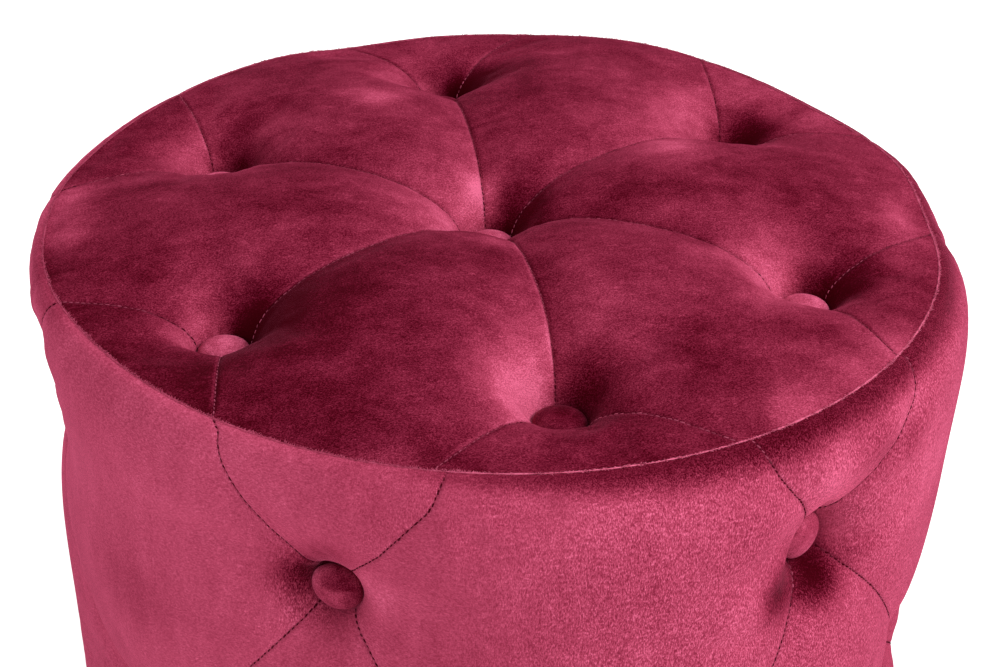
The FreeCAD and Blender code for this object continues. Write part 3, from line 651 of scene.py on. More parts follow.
def with_rim_waves(points):
    """The points moved as the rim seam wanders, less and less away from the rim."""
    azimuth = np.degrees(np.arctan2(points[:, 1], points[:, 0]))
    radius = np.hypot(points[:, 0], points[:, 1])
    near = 1 - smooth_step(np.hypot(radius - RIM_RADIUS, points[:, 2] - RIM_LEVEL), 0, RIM_WAVE_REACH)
    moved = points.copy()
    for toward, spread, rise, push in RIM_WAVES:
        share = near * np.exp(-((nearest_turn(azimuth - toward, 360) / spread) ** 2))
        moved[:, :2] += points[:, :2] * (push * share / (radius + 1e-9))[:, None]
        moved[:, 2] += rise * share
    return moved


def crown(places):
    """How high the stuffing of the top rises over the rim seam."""
    radius = np.hypot(places[:, 0], places[:, 1])
    share = np.clip((radius - CROWN_FLAT) / (RIM_RADIUS - CROWN_FLAT), 0, 1)
    return CROWN_RISE * (1 - share**CROWN_FALL)


def top_points(cover):
    """The top cover's points once it is stuffed, and how far each lies from a seam and from a button."""
    places = np.array(cover.flat)
    seed, length, swell = TOP_WAVES
    rest = crown(places) + swell * soft_waves(seed, places, length)
    for x, y, spread, swell in TOP_SWELLS:
        rest += swell * np.exp(-((places[:, 0] - x) ** 2 + (places[:, 1] - y) ** 2) / spread**2)
    depth, gap, button = stuffed_depths(cover, rest, TOP_EASE, RIM_RADIUS - np.hypot(places[:, 0], places[:, 1]))
    return with_rim_waves(np.column_stack([places, RIM_LEVEL + depth])), gap, button


def side_points(cover, section):
    """The side cover's points once it is stuffed, and how far each lies from a seam and from a button."""
    run, radius, level = section
    places = np.array(cover.flat)
    down, azimuth = -places[:, 1], places[:, 0] / UNROLL * math.pi / 180
    seed, length, swell = SIDE_WAVES
    turned = [WAVE_TURN * np.cos(azimuth), WAVE_TURN * np.sin(azimuth), places[:, 1] * WAVE_SQUASH]
    fade = np.clip(down / RIM_FADE, 0, 1) * np.clip((places[:, 1] + run[-1]) / HEM_FADE, 0, 1)
    rest = (SIDE_FULLNESS + swell * soft_waves(seed, np.column_stack(turned), length)) * fade
    depth, gap, button = stuffed_depths(cover, rest, SIDE_EASE, down)
    free = 1 - np.exp(-((np.maximum(button - SEAT_RADIUS, 0) / SWELL_REACH) ** 2))
    height = np.interp(down, run, level)
    for toward, spread, middle, tall, swell in SIDE_SWELLS:
        turn = nearest_turn(np.degrees(azimuth) - toward, 360)
        depth += swell * np.exp(-((turn / spread) ** 2) - ((height - middle) / tall) ** 2) * free * fade
    slope_r, slope_z = np.gradient(radius, run), np.gradient(level, run)
    size = np.hypot(slope_r, slope_z)
    r = np.interp(down, run, radius) + depth * np.interp(down, run, -slope_z / size)
    z = height + depth * np.interp(down, run, slope_r / size)
    return with_rim_waves(np.column_stack([r * np.cos(azimuth), r * np.sin(azimuth), z])), gap, button


def add_lining(points, triangles, loop, rows):
    """Rows of cloth behind a cover's open edge, each at a radius and height; the last row's points come last."""
    points, triangles = list(map(tuple, points)), [tuple(t) for t in triangles]
    angles = [math.atan2(points[i][1], points[i][0]) for i in loop]
    for radius, level in rows:
        ring = list(range(len(points), len(points) + len(loop)))
        points += [(radius * math.cos(angle), radius * math.sin(angle), level) for angle in angles]
        for a, b, c, d in zip(loop, ring, ring[1:] + ring[:1], loop[1:] + loop[:1]):
            triangles += [(a, b, c), (a, c, d)]
        loop = ring
    return points, triangles, loop


def mesh_piece(name, points, triangles, sharp=(), values=None):
    """A smooth piece from points in mm and triangles, with hard edges along its seams."""
    mesh = bpy.data.meshes.new(name)
    mesh.from_pydata([tuple(np.array(p) * MM) for p in points], [], [tuple(int(i) for i in t) for t in triangles])
    mesh.validate()
    mesh.shade_smooth()
    for label, data in (values or {}).items():
        layer = mesh.attributes.new(label, "FLOAT", "POINT")
        layer.data.foreach_set("value", np.asarray(data, np.float32))
    if len(sharp):
        wanted = {tuple(sorted(pair)) for pair in sharp}
        flags = [tuple(sorted(edge.vertices)) in wanted for edge in mesh.edges]
        mesh.attributes.new("sharp_edge", "BOOLEAN", "EDGE").data.foreach_set("value", flags)
    piece = bpy.data.objects.new(name, mesh)
    bpy.context.scene.collection.objects.link(piece)
    return piece


def seam_pairs(cover):
    return [pair for line in cover.lines.values() for pair in zip(line, line[1:])]


def edge_loop(cover, *names):
    """The points of a cover's edge in order, from the six lines of each name."""
    return [i for k in range(TOP_COUNT) for name in names for i in cover.lines[f"{name}_{k}"][:-1]]


def soft_spot(cover, across, up, size):
    """How strongly a soft round mark shows at some steps across and up from its middle."""
    return np.exp(-((cover.steps(across) ** 2 + up**2) / size**2))


def crushed_and_shaded_nap(cover, patches):
    """Where the pile beside each button is darkened, partly pressed down and partly painted shade in the hollow:
    patches a step away from the buttons, from 0 to 1.
    """
    places = np.array(cover.flat)
    total = np.zeros(len(places))
    for (x, y), (right, up, size, strength) in zip(cover.buttons, patches):
        total += strength * soft_spot(cover, places[:, 0] - x - right, places[:, 1] - y - up, size)
    return np.clip(total, 0, 1)


def stroked_and_shaded(cover, strokes, turns=()):
    """How much lighter the strokes make each point, partly brushed pile and partly painted light and shade; on the
    side they come again further round.
    """
    places = np.array(cover.flat)
    total = np.zeros(len(places))
    for turn in (0.0, *turns):
        for x, y, size, lighter in strokes:
            # partly brushed pile, partly painted light and shade
            total += lighter * soft_spot(cover, places[:, 0] - x - turn * UNROLL, places[:, 1] - y, size)
    return total


def top_nap_and_shading(cover, shaped):
    """The nap of the top: each panel has its own lie, and slopes along it show light, slopes against it dark, partly
    the nap's lie and partly painted light and shade.
    """
    triangles = np.array(cover.triangles).ravel()
    lay = np.array(TOP_LAY_AND_SHADING)[np.repeat(cover.panel_of, 3)]
    count = np.bincount(triangles, minlength=len(shaped)) + 1e-9
    tone, lean = (np.bincount(triangles, lay[:, i], len(shaped)) / count for i in range(2))
    # painted light and shade: slopes facing the heading, towards the light, lighter, slopes facing away darker
    along = np.clip(normals_of(shaped, cover.triangles) @ NAP_AND_LIGHT_HEADING, -MOST_SLOPE, MOST_SLOPE)
    return tone + lean * along + stroked_and_shaded(cover, TOP_STROKES_AND_SHADING)


def side_nap_and_shading(cover):
    """The nap of the side hangs down, so it is light, but for the shoulder, where a darker band is painted shade,
    partly the nap lying against the light.
    """
    places = np.array(cover.flat)
    first = SHOULDER_SHADE[0][0]
    azimuth, darker, reach = np.array(SHOULDER_SHADE).T
    turn = (places[:, 0] / UNROLL - first) % 360 + first
    reach = np.interp(turn, azimuth, reach)
    # painted shade: a darker band on the shoulder under the rim seam
    shoulder = np.interp(turn, azimuth, darker) * (1 - smooth_step(-places[:, 1], SHOULDER_HELD * reach, reach))
    return SIDE_TONE - shoulder + stroked_and_shaded(cover, SIDE_STROKES_AND_SHADING, STROKE_TURNS)


def padding_values(gap, button, crush, nap, count):
    """The point values a cover's finish reads: nap with its painted light and shade, nearness to a seam and to a
    button for the painted shade there, and pressed pile with painted shade.
    """
    seam = np.exp(-((gap / SEAM_SHOWS) ** 2))
    well = np.exp(-((np.maximum(button - WELL_EDGE, 0) / WELL_SHOWS) ** 2))
    extra = np.zeros(count - len(gap))
    values = {"nap": (nap, extra + LINING_NAP), "seam": (seam, extra), "well": (well, extra), "crush": (crush, extra)}
    return {label: np.hstack(parts) for label, parts in values.items()}


def cushion(name, cover, stuffed, points, triangles, crush, nap):
    """A padded piece from its lined mesh, with the values its finish reads, its cloth eased by simulation."""
    shaped, gap, button = stuffed
    values = padding_values(gap, button, crush, nap, len(points))
    piece = mesh_piece(name, points, triangles, seam_pairs(cover), values)
    ease_cloth(piece, cover, shaped, gap, button)
    return piece, shaped, nap


def build_top(cover):
    """The stuffed top with its lining, closed by a disc behind."""
    stuffed = top_points(cover)
    rim = edge_loop(cover, "rim_front", "rim_gap")[::-1]
    points, triangles, last = add_lining(stuffed[0], cover.triangles, rim, TOP_LINING)
    triangles += [(a, len(points), b) for a, b in zip(last, last[1:] + last[:1])]
    points.append((0.0, 0.0, TOP_LINING[-1][1]))
    return cushion(
        "top_cushion", cover, stuffed, points, triangles, crushed_and_shaded_nap(cover, TOP_CRUSH_AND_SHADE), top_nap_and_shading(cover, stuffed[0])
    )


def build_side(cover, section, names):
    """The stuffed side with its lining, from the rim seam round behind to the hem."""
    stuffed = side_points(cover, section)
    rng = np.random.default_rng(SEEDS["crush"])
    patches = [
        SIDE_CRUSH_AND_SHADE.get(name, (*(rng.uniform(*bounds) for bounds in USUAL_CRUSH_AND_SHADE), USUAL_CRUSH_AND_SHADE_STRENGTH))
        for name in names
    ]
    rim, hem = edge_loop(cover, "rim_front", "rim_gap"), edge_loop(cover, "hem")[::-1]
    points, triangles, upper = add_lining(stuffed[0], cover.triangles, rim, RIM_LINING)
    points, triangles, lower = add_lining(points, triangles, hem, HEM_LINING)
    triangles += bridge(points, upper, lower)
    return cushion(
        "side_cushion", cover, stuffed, points, triangles, crushed_and_shaded_nap(cover, patches), side_nap_and_shading(cover)
    )


def bridge(points, upper, lower):
    """Triangles that close the space between two rings of different counts."""
    def turn(i):
        return math.atan2(points[i][1], points[i][0]) % (2 * math.pi)

    rings = [sorted(ring, key=turn) for ring in (upper, lower)]
    triangles, done = [], [0, 0]
    while done[0] < len(rings[0]) or done[1] < len(rings[1]):
        here, ahead, turns = [], [], []
        for ring, at in zip(rings, done):
            here.append(ring[at % len(ring)])
            ahead.append(ring[(at + 1) % len(ring)])
            turns.append(turn(ahead[-1]) + (2 * math.pi if at + 1 >= len(ring) else 0))
        upper_left = done[0] < len(rings[0]) and turns[0] <= turns[1]
        moved = 0 if done[1] >= len(rings[1]) or upper_left else 1
        triangles.append((*here, ahead[moved]))
        done[moved] += 1
    return triangles


# ---- the cloth eased by simulation ----

# An even skin over the stuffing, in mm; the frames it is blown up for; and what its cloth is like.
SKIN_STEP = 5.0
SKIN_FRAMES = 20
SKIN_CLOTH = {
    "quality": 5, "mass": 0.3, "tension_stiffness": 15, "compression_stiffness": 15, "shear_stiffness": 5,
    "bending_stiffness": 0.5, "shrink_min": -0.02, "use_pressure": True, "uniform_pressure_force": 4.0,
}

# How near a seam or a button's seat the skin is held, how far from them it is free, and the most it may move.
HELD_REACH = 3.5
EASED_REACH = 8.0
MOST_MOVE = 1.5


def search_tree(places):
    tree = KDTree(len(places))
    for number, place in enumerate(places):
        tree.insert(place, number)
    tree.balance()
    return tree


def mesh_places(mesh):
    places = np.zeros(len(mesh.vertices) * 3, np.float32)
    mesh.vertices.foreach_get("co", places)
    return places.reshape(-1, 3).astype(float) / MM


def even_skin(piece):
    """A copy of the piece with evenly spaced points."""
    skin = bpy.data.objects.new(f"{piece.name}_skin", piece.data.copy())
    bpy.context.scene.collection.objects.link(skin)
    even = skin.modifiers.new("even", "REMESH")
    even.mode, even.voxel_size = "VOXEL", SKIN_STEP * MM
    graph = bpy.context.evaluated_depsgraph_get()
    mesh = bpy.data.meshes.new_from_object(skin.evaluated_get(graph))
    skin.modifiers.clear()
    skin.data = mesh
    return skin


def blown_skin(skin, held):
    """Where the skin's points come to rest when the cloth is blown up with the held ones fast."""
    pins = skin.vertex_groups.new(name="held")
    pins.add([int(i) for i in held], 1.0, "REPLACE")
    cloth = skin.modifiers.new("cloth", "CLOTH")
    cloth.point_cache.frame_start, cloth.point_cache.frame_end = 1, SKIN_FRAMES
    cloth.collision_settings.use_collision = False
    for key, value in SKIN_CLOTH.items():
        setattr(cloth.settings, key, value)
    cloth.settings.effector_weights.gravity = 0
    cloth.settings.vertex_group_mass = pins.name
    scene = bpy.context.scene
    for frame in range(1, SKIN_FRAMES + 1):
        scene.frame_set(frame)
    blown = skin.evaluated_get(bpy.context.evaluated_depsgraph_get()).to_mesh()
    places = mesh_places(blown)
    scene.frame_set(1)
    return places


def ease_cloth(piece, cover, shaped, gap, button):
    """Moves the free cloth of a piece as a simulated skin over it moves, held at its seams, seats and edges."""
    edges = [i for name, line in cover.lines.items() if name.startswith(("rim", "hem")) for i in line]
    fast = (gap < 1.0) | (button < SEAT_RADIUS + 1)
    fast[edges] = True
    fixed, cloth = search_tree(shaped[fast]), search_tree(shaped)
    skin = even_skin(piece)
    start = mesh_places(skin.data)
    held = [
        i for i, place in enumerate(start)
        if fixed.find(place)[2] < HELD_REACH or cloth.find(place)[2] > SKIN_STEP
    ]
    moves = blown_skin(skin, held) - start
    bpy.data.objects.remove(skin)
    length = np.linalg.norm(moves, axis=1)[:, None]
    moves *= MOST_MOVE * np.tanh(length / MOST_MOVE) / (length + 1e-9)
    near, places = search_tree(start), mesh_places(piece.data)
    for i, place in enumerate(shaped):
        found = near.find_n(place, 4)
        weight = np.array([1 / (distance + 0.5) for _, _, distance in found])
        share = 1 - math.exp(-((fixed.find(place)[2] / EASED_REACH) ** 2))
        places[i] += share * weight @ moves[[number for _, number, _ in found]] / weight.sum()
    piece.data.vertices.foreach_set("co", (places * MM).astype(np.float32).ravel())
    piece.data.update()


# ---- thread ----

# Stitches of the top and of the side: pitch, length, radius, lift, and the slant that twists each in its seam.
TOP_STITCH = (2.7, 2.0, 0.3, 0.12, 6.0)
SIDE_STITCH = (2.75, 1.9, 0.44, 0.2, 13.0)
STITCH_SIZES = (0.75, 1.12)
STITCH_SINK = 0.3
STITCH_WANDER = 0.1
STITCH_TURN = 4.0
STITCH_AHEAD = 0.9
STITCH_SIDES = 6
STITCH_RINGS = ((-0.5, 0.35), (-0.36, 0.9), (0.0, 1.0), (0.36, 0.9), (0.5, 0.35))

# How light a stitch shows, as a painted highlight on the thread: more near a button, where the thread is taut, and
# none on light cloth.
TAUT_REACH = 38.0
SLACK_SHARE = 0.6
STITCH_HIGHLIGHT = (0.55, 1.0)
NAP_HIDES = (0.24, 0.52)

# The roll of pile along the rim seam: its radius and sides, and how much and how fast it swells and thins.
ROLL_RADIUS = 0.24
ROLL_SIDES = 6
ROLL_RISE = 0.1
ROLL_SWELL = 0.6
ROLL_WAVE = 9.0
ROLL_LIGHT = 0.8

# The tufts on it: how many, how long, how thick; how far their roots stray; how they lean; how they gather in clumps.
RIM_TUFTS = 7200
TUFT_LENGTH = (0.6, 1.5)
TUFT_RADIUS = 0.27
TUFT_ROOTS = {"round": (-0.4, 0.4), "out": (-0.6, 0.4), "up": (-0.5, 0.4)}
TUFT_LEANS = {"over": (0.3, 1.1), "aside": (0.25, 0.5), "up": (-0.1, 1.1)}
TUFT_CLUMPS = (23.0, 9.1)
TUFT_LIGHT = (0.4, 1.0)

# How light the pile stands along the rim seam, by azimuth, partly the pile's own tone and partly painted sheen where
# it catches the light, and the azimuths between which it leans over the top.
RIM_PILE_TONE_AND_SHEEN = ((-180, 0.2), (-112, 0.15), (-99, 0.8), (-85, 1.2), (-50, 0.9), (0, 0.5), (60, 0.2), (180, 0.2))
LEANING_IN = (-175.0, -101.0)


def normals_of(points, triangles):
    points, triangles = np.asarray(points, float), np.asarray(triangles)
    a, b, c = (points[triangles[:, i]] for i in range(3))
    face = np.cross(b - a, c - a)
    total = np.zeros_like(points)
    for i in range(3):
        for axis in range(3):
            total[:, axis] += np.bincount(triangles[:, i], face[:, axis], len(points))
    return total / (np.linalg.norm(total, axis=1)[:, None] + 1e-12)


def tube_faces(rows, sides, closed=False):
    """Triangles that join rows of points, each a ring of so many sides, into a tube."""
    faces = []
    for row in range(rows if closed else rows - 1):
        for side in range(sides):
            a, b = row * sides + side, row * sides + (side + 1) % sides
            c, d = ((i + sides) % (rows * sides) for i in (a, b))
            faces += [(a, c, d), (a, d, b)]
    return faces


def stitch_form(length, radius):
    """One stitch lying along x, with rounded ends."""
    points = []
    for along, width in STITCH_RINGS:
        for side in range(STITCH_SIDES):
            angle = 2 * math.pi * side / STITCH_SIDES
            points.append((along * length, math.cos(angle) * width * radius, math.sin(angle) * width * radius))
    triangles = tube_faces(len(STITCH_RINGS), STITCH_SIDES)
    last = len(points) - STITCH_SIDES
    for side in range(1, STITCH_SIDES - 1):
        triangles += [(0, side, side + 1), (last, last + side + 1, last + side)]
    return np.array(points), np.array(triangles)


def unit(vector):
    return vector / (np.linalg.norm(vector) + 1e-9)


def stitch_seams(name, cover, shaped, nap, stitch, skip):
    """Thread showing in each seam but the skipped ones, a stitch each pitch: a painted highlight where the cloth is
    dark, plain dark thread where it is light.
    """
    normals = normals_of(shaped, cover.triangles)
    pitch, length, radius, lift, slant = stitch
    form, faces = stitch_form(length, radius)
    points, triangles, tones = [], [], []
    rng = np.random.default_rng(SEEDS["stitches"])
    for label, ids in cover.lines.items():
        if label.startswith(skip):
            continue
        path, run = shaped[ids], lengths_along(shaped[ids])
        between = label.startswith(("spoke", "fall", "rise_"))
        for at in np.arange(SEAT_RADIUS, run[-1] - (SEAT_RADIUS if between else 1.0), pitch):
            middle = read_between(at, run, path)
            along = unit(read_between(at + STITCH_AHEAD, run, path) - middle)
            across = unit(np.cross(read_between(at, run, normals[ids]), along))
            up = np.cross(along, across)
            size = rng.uniform(*STITCH_SIZES)
            sunk = up * (lift - rng.uniform(0, STITCH_SINK)) + across * rng.normal(0, STITCH_WANDER)
            twist = math.radians(slant + rng.normal(0, STITCH_TURN))
            turned = (
                along * math.cos(twist) + across * math.sin(twist), across * math.cos(twist) - along * math.sin(twist)
            )
            triangles.append(faces + len(points) * len(form))
            points.append(middle + sunk + size * form @ np.stack([*turned, up]))
            # painted highlight: lighter thread near a button and on dark cloth
            taut = math.exp(-((min(at, run[-1] - at if between else 1e3) / TAUT_REACH) ** 2))
            showing = (SLACK_SHARE + (1 - SLACK_SHARE) * taut) * rng.uniform(*STITCH_HIGHLIGHT)
            tones.append(showing * (1 - smooth_step(np.interp(at, run, nap[ids]), *NAP_HIDES)))
    return mesh_piece(name, np.vstack(points), np.vstack(triangles), values={"nap": np.repeat(tones, len(form))})


def rim_pile_tone_and_sheen(azimuth):
    """How light the pile of the rim seam shows at an azimuth in degrees, partly its own tone and partly painted sheen.
    """
    stops, light = zip(*RIM_PILE_TONE_AND_SHEEN)
    return np.interp(nearest_turn(azimuth, 360), stops, light)


def rim_roll():
    """The narrow roll of pile pinched up along the rim seam."""
    rows = round(2 * math.pi * RIM_RADIUS / SEAM_STEP)
    azimuths = np.arange(rows) * 360 / rows
    line = [(*on_circle(RIM_RADIUS, azimuth), RIM_LEVEL + ROLL_RISE) for azimuth in azimuths]
    middles = with_rim_waves(np.array(line))
    waves = soft_waves(SEEDS["roll"], middles, ROLL_WAVE)
    points = []
    for azimuth, middle, wave in zip(azimuths, middles, waves):
        outward = np.array([*on_circle(1, azimuth), 0.0])
        for side in range(ROLL_SIDES):
            angle = 2 * math.pi * side / ROLL_SIDES
            spread = outward * math.cos(angle) + UP * math.sin(angle)
            points.append(middle + spread * ROLL_RADIUS * (1 + ROLL_SWELL * wave))
    tones = np.repeat(ROLL_LIGHT * rim_pile_tone_and_sheen(azimuths), ROLL_SIDES)
    return mesh_piece("rim_roll", points, tube_faces(rows, ROLL_SIDES, True), values={"nap": tones})


def rim_pile():
    """Tufts of pile that stand out of the rim seam, each a thin point leaning its own way."""
    rng = np.random.default_rng(SEEDS["tufts"])
    points, triangles, tones = [], [], []
    for number in range(RIM_TUFTS):
        azimuth = 360 * (number + rng.uniform(*TUFT_ROOTS["round"])) / RIM_TUFTS
        outward = np.array([*on_circle(1, azimuth), 0.0])
        sideways = np.array([-outward[1], outward[0], 0])
        root = outward * (RIM_RADIUS + rng.uniform(*TUFT_ROOTS["out"]))
        root = with_rim_waves((root + UP * (RIM_LEVEL + rng.uniform(*TUFT_ROOTS["up"])))[None])[0]
        clump = 0.5 + 0.5 * math.sin(number / TUFT_CLUMPS[0]) * math.sin(number / TUFT_CLUMPS[1])
        over = -outward if LEANING_IN[0] < nearest_turn(azimuth, 360) < LEANING_IN[1] else outward
        lean = over * rng.uniform(*TUFT_LEANS["over"]) + sideways * rng.normal(*TUFT_LEANS["aside"])
        lean = lean + UP * rng.uniform(*TUFT_LEANS["up"])
        tip = root + lean / np.linalg.norm(lean) * (TUFT_LENGTH[0] + clump * rng.uniform(0, TUFT_LENGTH[1]))
        across = np.cross(lean, sideways)
        across /= np.linalg.norm(across)
        a, b, c, d = range(len(points), len(points) + 4)
        for angle in (corner * math.pi / 3 for corner in (0, 2, 4)):
            points.append(root + (sideways * math.cos(angle) + across * math.sin(angle)) * TUFT_RADIUS)
        points.append(tip)
        triangles += [(a, b, d), (b, c, d), (c, a, d), (a, c, b)]
        tones.append(rim_pile_tone_and_sheen(azimuth) * rng.uniform(*TUFT_LIGHT))
    return mesh_piece("rim_pile", points, triangles, values={"nap": np.repeat(tones, 4)})


# ---- camera and light ----

# The camera: its distance in rim radii, its turns in degrees, and its lens as pixels of a frame so wide.
VIEW = {
    "distance": 4.247, "elevation": 28.83, "azimuth": -100.94, "yaw": 0.17, "pitch": -3.78, "roll": 1.49,
    "focal_pixels": 1844.0, "frame_width": 1000.0,
}
SENSOR_WIDTH = 36.0

# The lamps: name, place, width, power; all aim at the target.
LAMPS = (("key", (1.5, -0.9, 1.9), 1.2, 40), ("fill", (-1.6, -1.6, 1.2), 1.6, 14), ("back", (-0.4, 1.9, 1.6), 1.4, 14))
LAMP_TARGET = (0.0, 0.0, 0.35)
WORLD_LEVEL = 0.55
FLOOR_GLOW = 0.45
FLOOR_REACH = 6.0


def sides_of(aim):
    """The directions level to the right of an aim, and up from it."""
    right = np.cross(aim, UP)
    right /= np.linalg.norm(right)
    return right, np.cross(right, aim)


def aimed(thing, place, right, up, aim):
    """Puts a camera or a lamp in the scene at its place, looking along its aim."""
    thing.matrix_world = Matrix([[right[i], up[i], -aim[i], place[i]] for i in range(3)] + [[0, 0, 0, 1]])
    bpy.context.scene.collection.objects.link(thing)


def place_camera():
    """The camera, from its distance and turns about the rim seam's middle."""
    turns = ("elevation", "azimuth", "yaw", "pitch", "roll")
    rise, swing, yaw, pitch, roll = (math.radians(VIEW[turn]) for turn in turns)
    offset = VIEW["distance"] * RIM_RADIUS * MM * np.array(
        [math.cos(rise) * math.cos(swing), math.cos(rise) * math.sin(swing), math.sin(rise)]
    )
    forward = -offset / np.linalg.norm(offset)
    right, up = sides_of(forward)
    aim = forward * math.cos(yaw) * math.cos(pitch) + right * math.sin(yaw) * math.cos(pitch) + up * math.sin(pitch)
    right, up = sides_of(aim)
    side, top = right * math.cos(roll) + up * math.sin(roll), up * math.cos(roll) - right * math.sin(roll)
    data = bpy.data.cameras.new("camera")
    data.sensor_fit, data.sensor_width = "HORIZONTAL", SENSOR_WIDTH
    data.lens = VIEW["focal_pixels"] / VIEW["frame_width"] * SENSOR_WIDTH
    data.clip_start, data.clip_end = 0.01, 50
    camera = bpy.data.objects.new("camera", data)
    aimed(camera, offset + UP * RIM_LEVEL * MM, side, top, aim)
    bpy.context.scene.camera = camera


def light_studio():
    for name, place, width, power in LAMPS:
        data = bpy.data.lights.new(name, "AREA")
        data.shape, data.size, data.energy = "DISK", width, power
        aim = unit(np.subtract(LAMP_TARGET, place))
        aimed(bpy.data.objects.new(name, data), place, *sides_of(aim), aim)


# ---- finishes ----

FLOAT, COLOUR, VECTOR = "NodeSocketFloat", "NodeSocketColor", "NodeSocketVector"

# Velvet from pressed flat, where it is dark, to standing open, where it is light; the level that picks the tone
# carries painted light and shade as well.
VELVET_TONES = (
    (0.0, (62, 3, 13)), (0.16, (89, 11, 31)), (0.37, (122, 31, 55)),
    (0.58, (157, 53, 80)), (0.79, (191, 76, 107)), (1.0, (228, 107, 143)),
)
# A seam's dark line: partly pile parted at the seam, partly painted shade in the crease.
SEAM_LINE_AND_SHADE_TONE = (48, 6, 16)
SHEEN_TONE = (235, 105, 142)

# The pile's patterns, as noise scales: brushed marks, two sizes of pile, and loose light flecks.
BRUSHED_SCALE = 110.0
PILE_SCALES = (1700.0, 3000.0)
SPECK_BAND = (0.3, 0.7)
FLECK_SCALE = 620.0
FLECK_RUN = (0.4, 1.2, 1.2)
FLECK_BAND = (0.64, 0.76)

# How much each part adds to the nap's level or to the relief: brushed marks, flecks, pressed pile with painted shade,
# a well's painted shade, a seam's dark line with painted shade.
BRUSHED_SHARE = 0.6
FLECK_SHARE = 0.35
CRUSH_AND_SHADE_SHARES = (0.2, 0.45)
WELL_SHADE_SHARE = 0.12
SEAM_LINE_AND_SHADE_SHARE = 0.3
RELIEF_SHARES = (0.7, 0.6)
PILE_ROUGHNESS = (0.72, 0.2)

# The nap of the buttons by tone, partly their own tone and partly painted light and shade: on the edge turned against
# the nap's heading, away from the light, and on the face.
BUTTON_NAPS_AND_SHADING = {"dark": (0.35, 0.13), "dusky": (0.58, 0.3), "rose": (0.5, 0.64), "pale": (0.62, 0.8)}
BUTTON_TONES = {
    "dark": ("top_button_1",),
    "dusky": (
        "top_button_4", "side_button_upper_3", "side_button_upper_6", "side_button_middle_2", "side_button_middle_5",
        "side_button_lower_1", "side_button_lower_4",
    ),
}

# The other finishes: the frame's nodes that wear each, by the start of their names, a later row over an earlier
# one; two tones; the scale of the pattern; how rough it is; and what sets it apart.
NODE_FINISHES = (
    ("plywood", ("base_board", "top_board"), (205, 170, 125), (176, 138, 92), 60, 0.6, {"stretch": (0.15, 1, 1)}),
    ("softwood", ("post_",), (214, 184, 138), (188, 150, 100), 90, 0.6, {"stretch": (1, 1, 0.05)}),
    ("fibreboard", ("drum_wall", "stiffening_ring"), (150, 118, 84), (128, 98, 66), 500, 0.8, {}),
    ("twine", ("top_twine", "side_twine"), (222, 214, 196), (190, 180, 160), 900, 0.8, {}),
    ("dust_cloth", ("dust_cover",), (34, 33, 35), (52, 51, 54), 1400, 0.9, {"bump": 0.5}),
    ("foot_wood", ("foot_",), (42, 27, 20), (66, 42, 29), 120, 0.42, {"stretch": (1, 1, 0.05)}),
    ("glide_plastic", ("glide_",), (38, 38, 40), (50, 50, 52), 700, 0.5, {}),
    ("zinc_steel", ("foot_studs", "foot_tee_nuts", "post_screws"), (176, 178, 182), (150, 152, 158), 260, 0.32,
     {"metallic": 1.0}),
    ("steel_wire", ("cover_staples", "dust_cover_staples", "button_eyes", "twine_pins"), (168, 168, 170),
     (140, 140, 144), 400, 0.35, {"metallic": 1.0}),
)


def srgb(*levels):
    """A colour written as it looks on screen, 0 to 255, as the linear values that nodes take."""
    shares = [level / 255 for level in levels]
    return (*(share / 12.92 if share <= 0.04045 else ((share + 0.055) / 1.055) ** 2.4 for share in shares), 1.0)


def feed(tree, socket, value):
    """Gives an input a value, or joins it to an output."""
    if isinstance(value, bpy.types.NodeSocket):
        tree.links.new(value, socket)
    else:
        socket.default_value = value


def add(tree, kind, inputs=None, **settings):
    """A node with its settings, and with its named or numbered inputs fed."""
    made = tree.nodes.new(kind)
    for key, value in settings.items():
        setattr(made, key, value)
    for key, value in (inputs or {}).items():
        feed(tree, made.inputs[key], value)
    return made


def arithmetic(operation):
    """A function that adds one step of arithmetic on two values or outputs."""
    def step(tree, a, b, clamp=False):
        return add(tree, "ShaderNodeMath", {0: a, 1: b}, operation=operation, use_clamp=clamp).outputs[0]
    return step


plus, minus, times, higher = (arithmetic(name) for name in ("ADD", "SUBTRACT", "MULTIPLY", "MAXIMUM"))


def mixed(tree, share, first, second):
    """A value between two others."""
    return plus(tree, first, times(tree, minus(tree, second, first), share))


def blend_colour(tree, share, a, b):
    return add(tree, "ShaderNodeMix", {0: share, 6: a, 7: b}, data_type="RGBA", clamp_factor=True).outputs[2]


def noise(tree, place, scale, detail=2.0, rough=0.5, twist=0.0):
    inputs = {"Vector": place, "Scale": scale, "Detail": detail, "Roughness": rough, "Distortion": twist}
    return add(tree, "ShaderNodeTexNoise", inputs).outputs["Fac"]


def stretched(tree, place, size):
    """The place, squeezed along each axis so that a pattern on it comes out longer one way."""
    return add(tree, "ShaderNodeVectorMath", {0: place, 1: size}, operation="MULTIPLY").outputs[0]


def eased(tree, value, low, high, at_low=0.0, at_high=1.0):
    """A value that goes smoothly from one level to another between two bounds."""
    inputs = {"Value": value, "From Min": low, "From Max": high, "To Min": at_low, "To Max": at_high}
    return add(tree, "ShaderNodeMapRange", inputs, interpolation_type="SMOOTHSTEP").outputs[0]


def facing(tree, heading):
    """How far the surface turns towards a heading fixed on the object, from -1 to 1."""
    normal = tree.nodes.new("ShaderNodeNewGeometry").outputs["Normal"]
    return add(tree, "ShaderNodeVectorMath", {0: normal, 1: heading}, operation="DOT_PRODUCT").outputs["Value"]


def kept_value(tree, name):
    """A value kept at each point of the piece."""
    return add(tree, "ShaderNodeAttribute", attribute_name=name).outputs["Fac"]


def object_place(tree):
    return tree.nodes.new("ShaderNodeTexCoord").outputs["Object"]


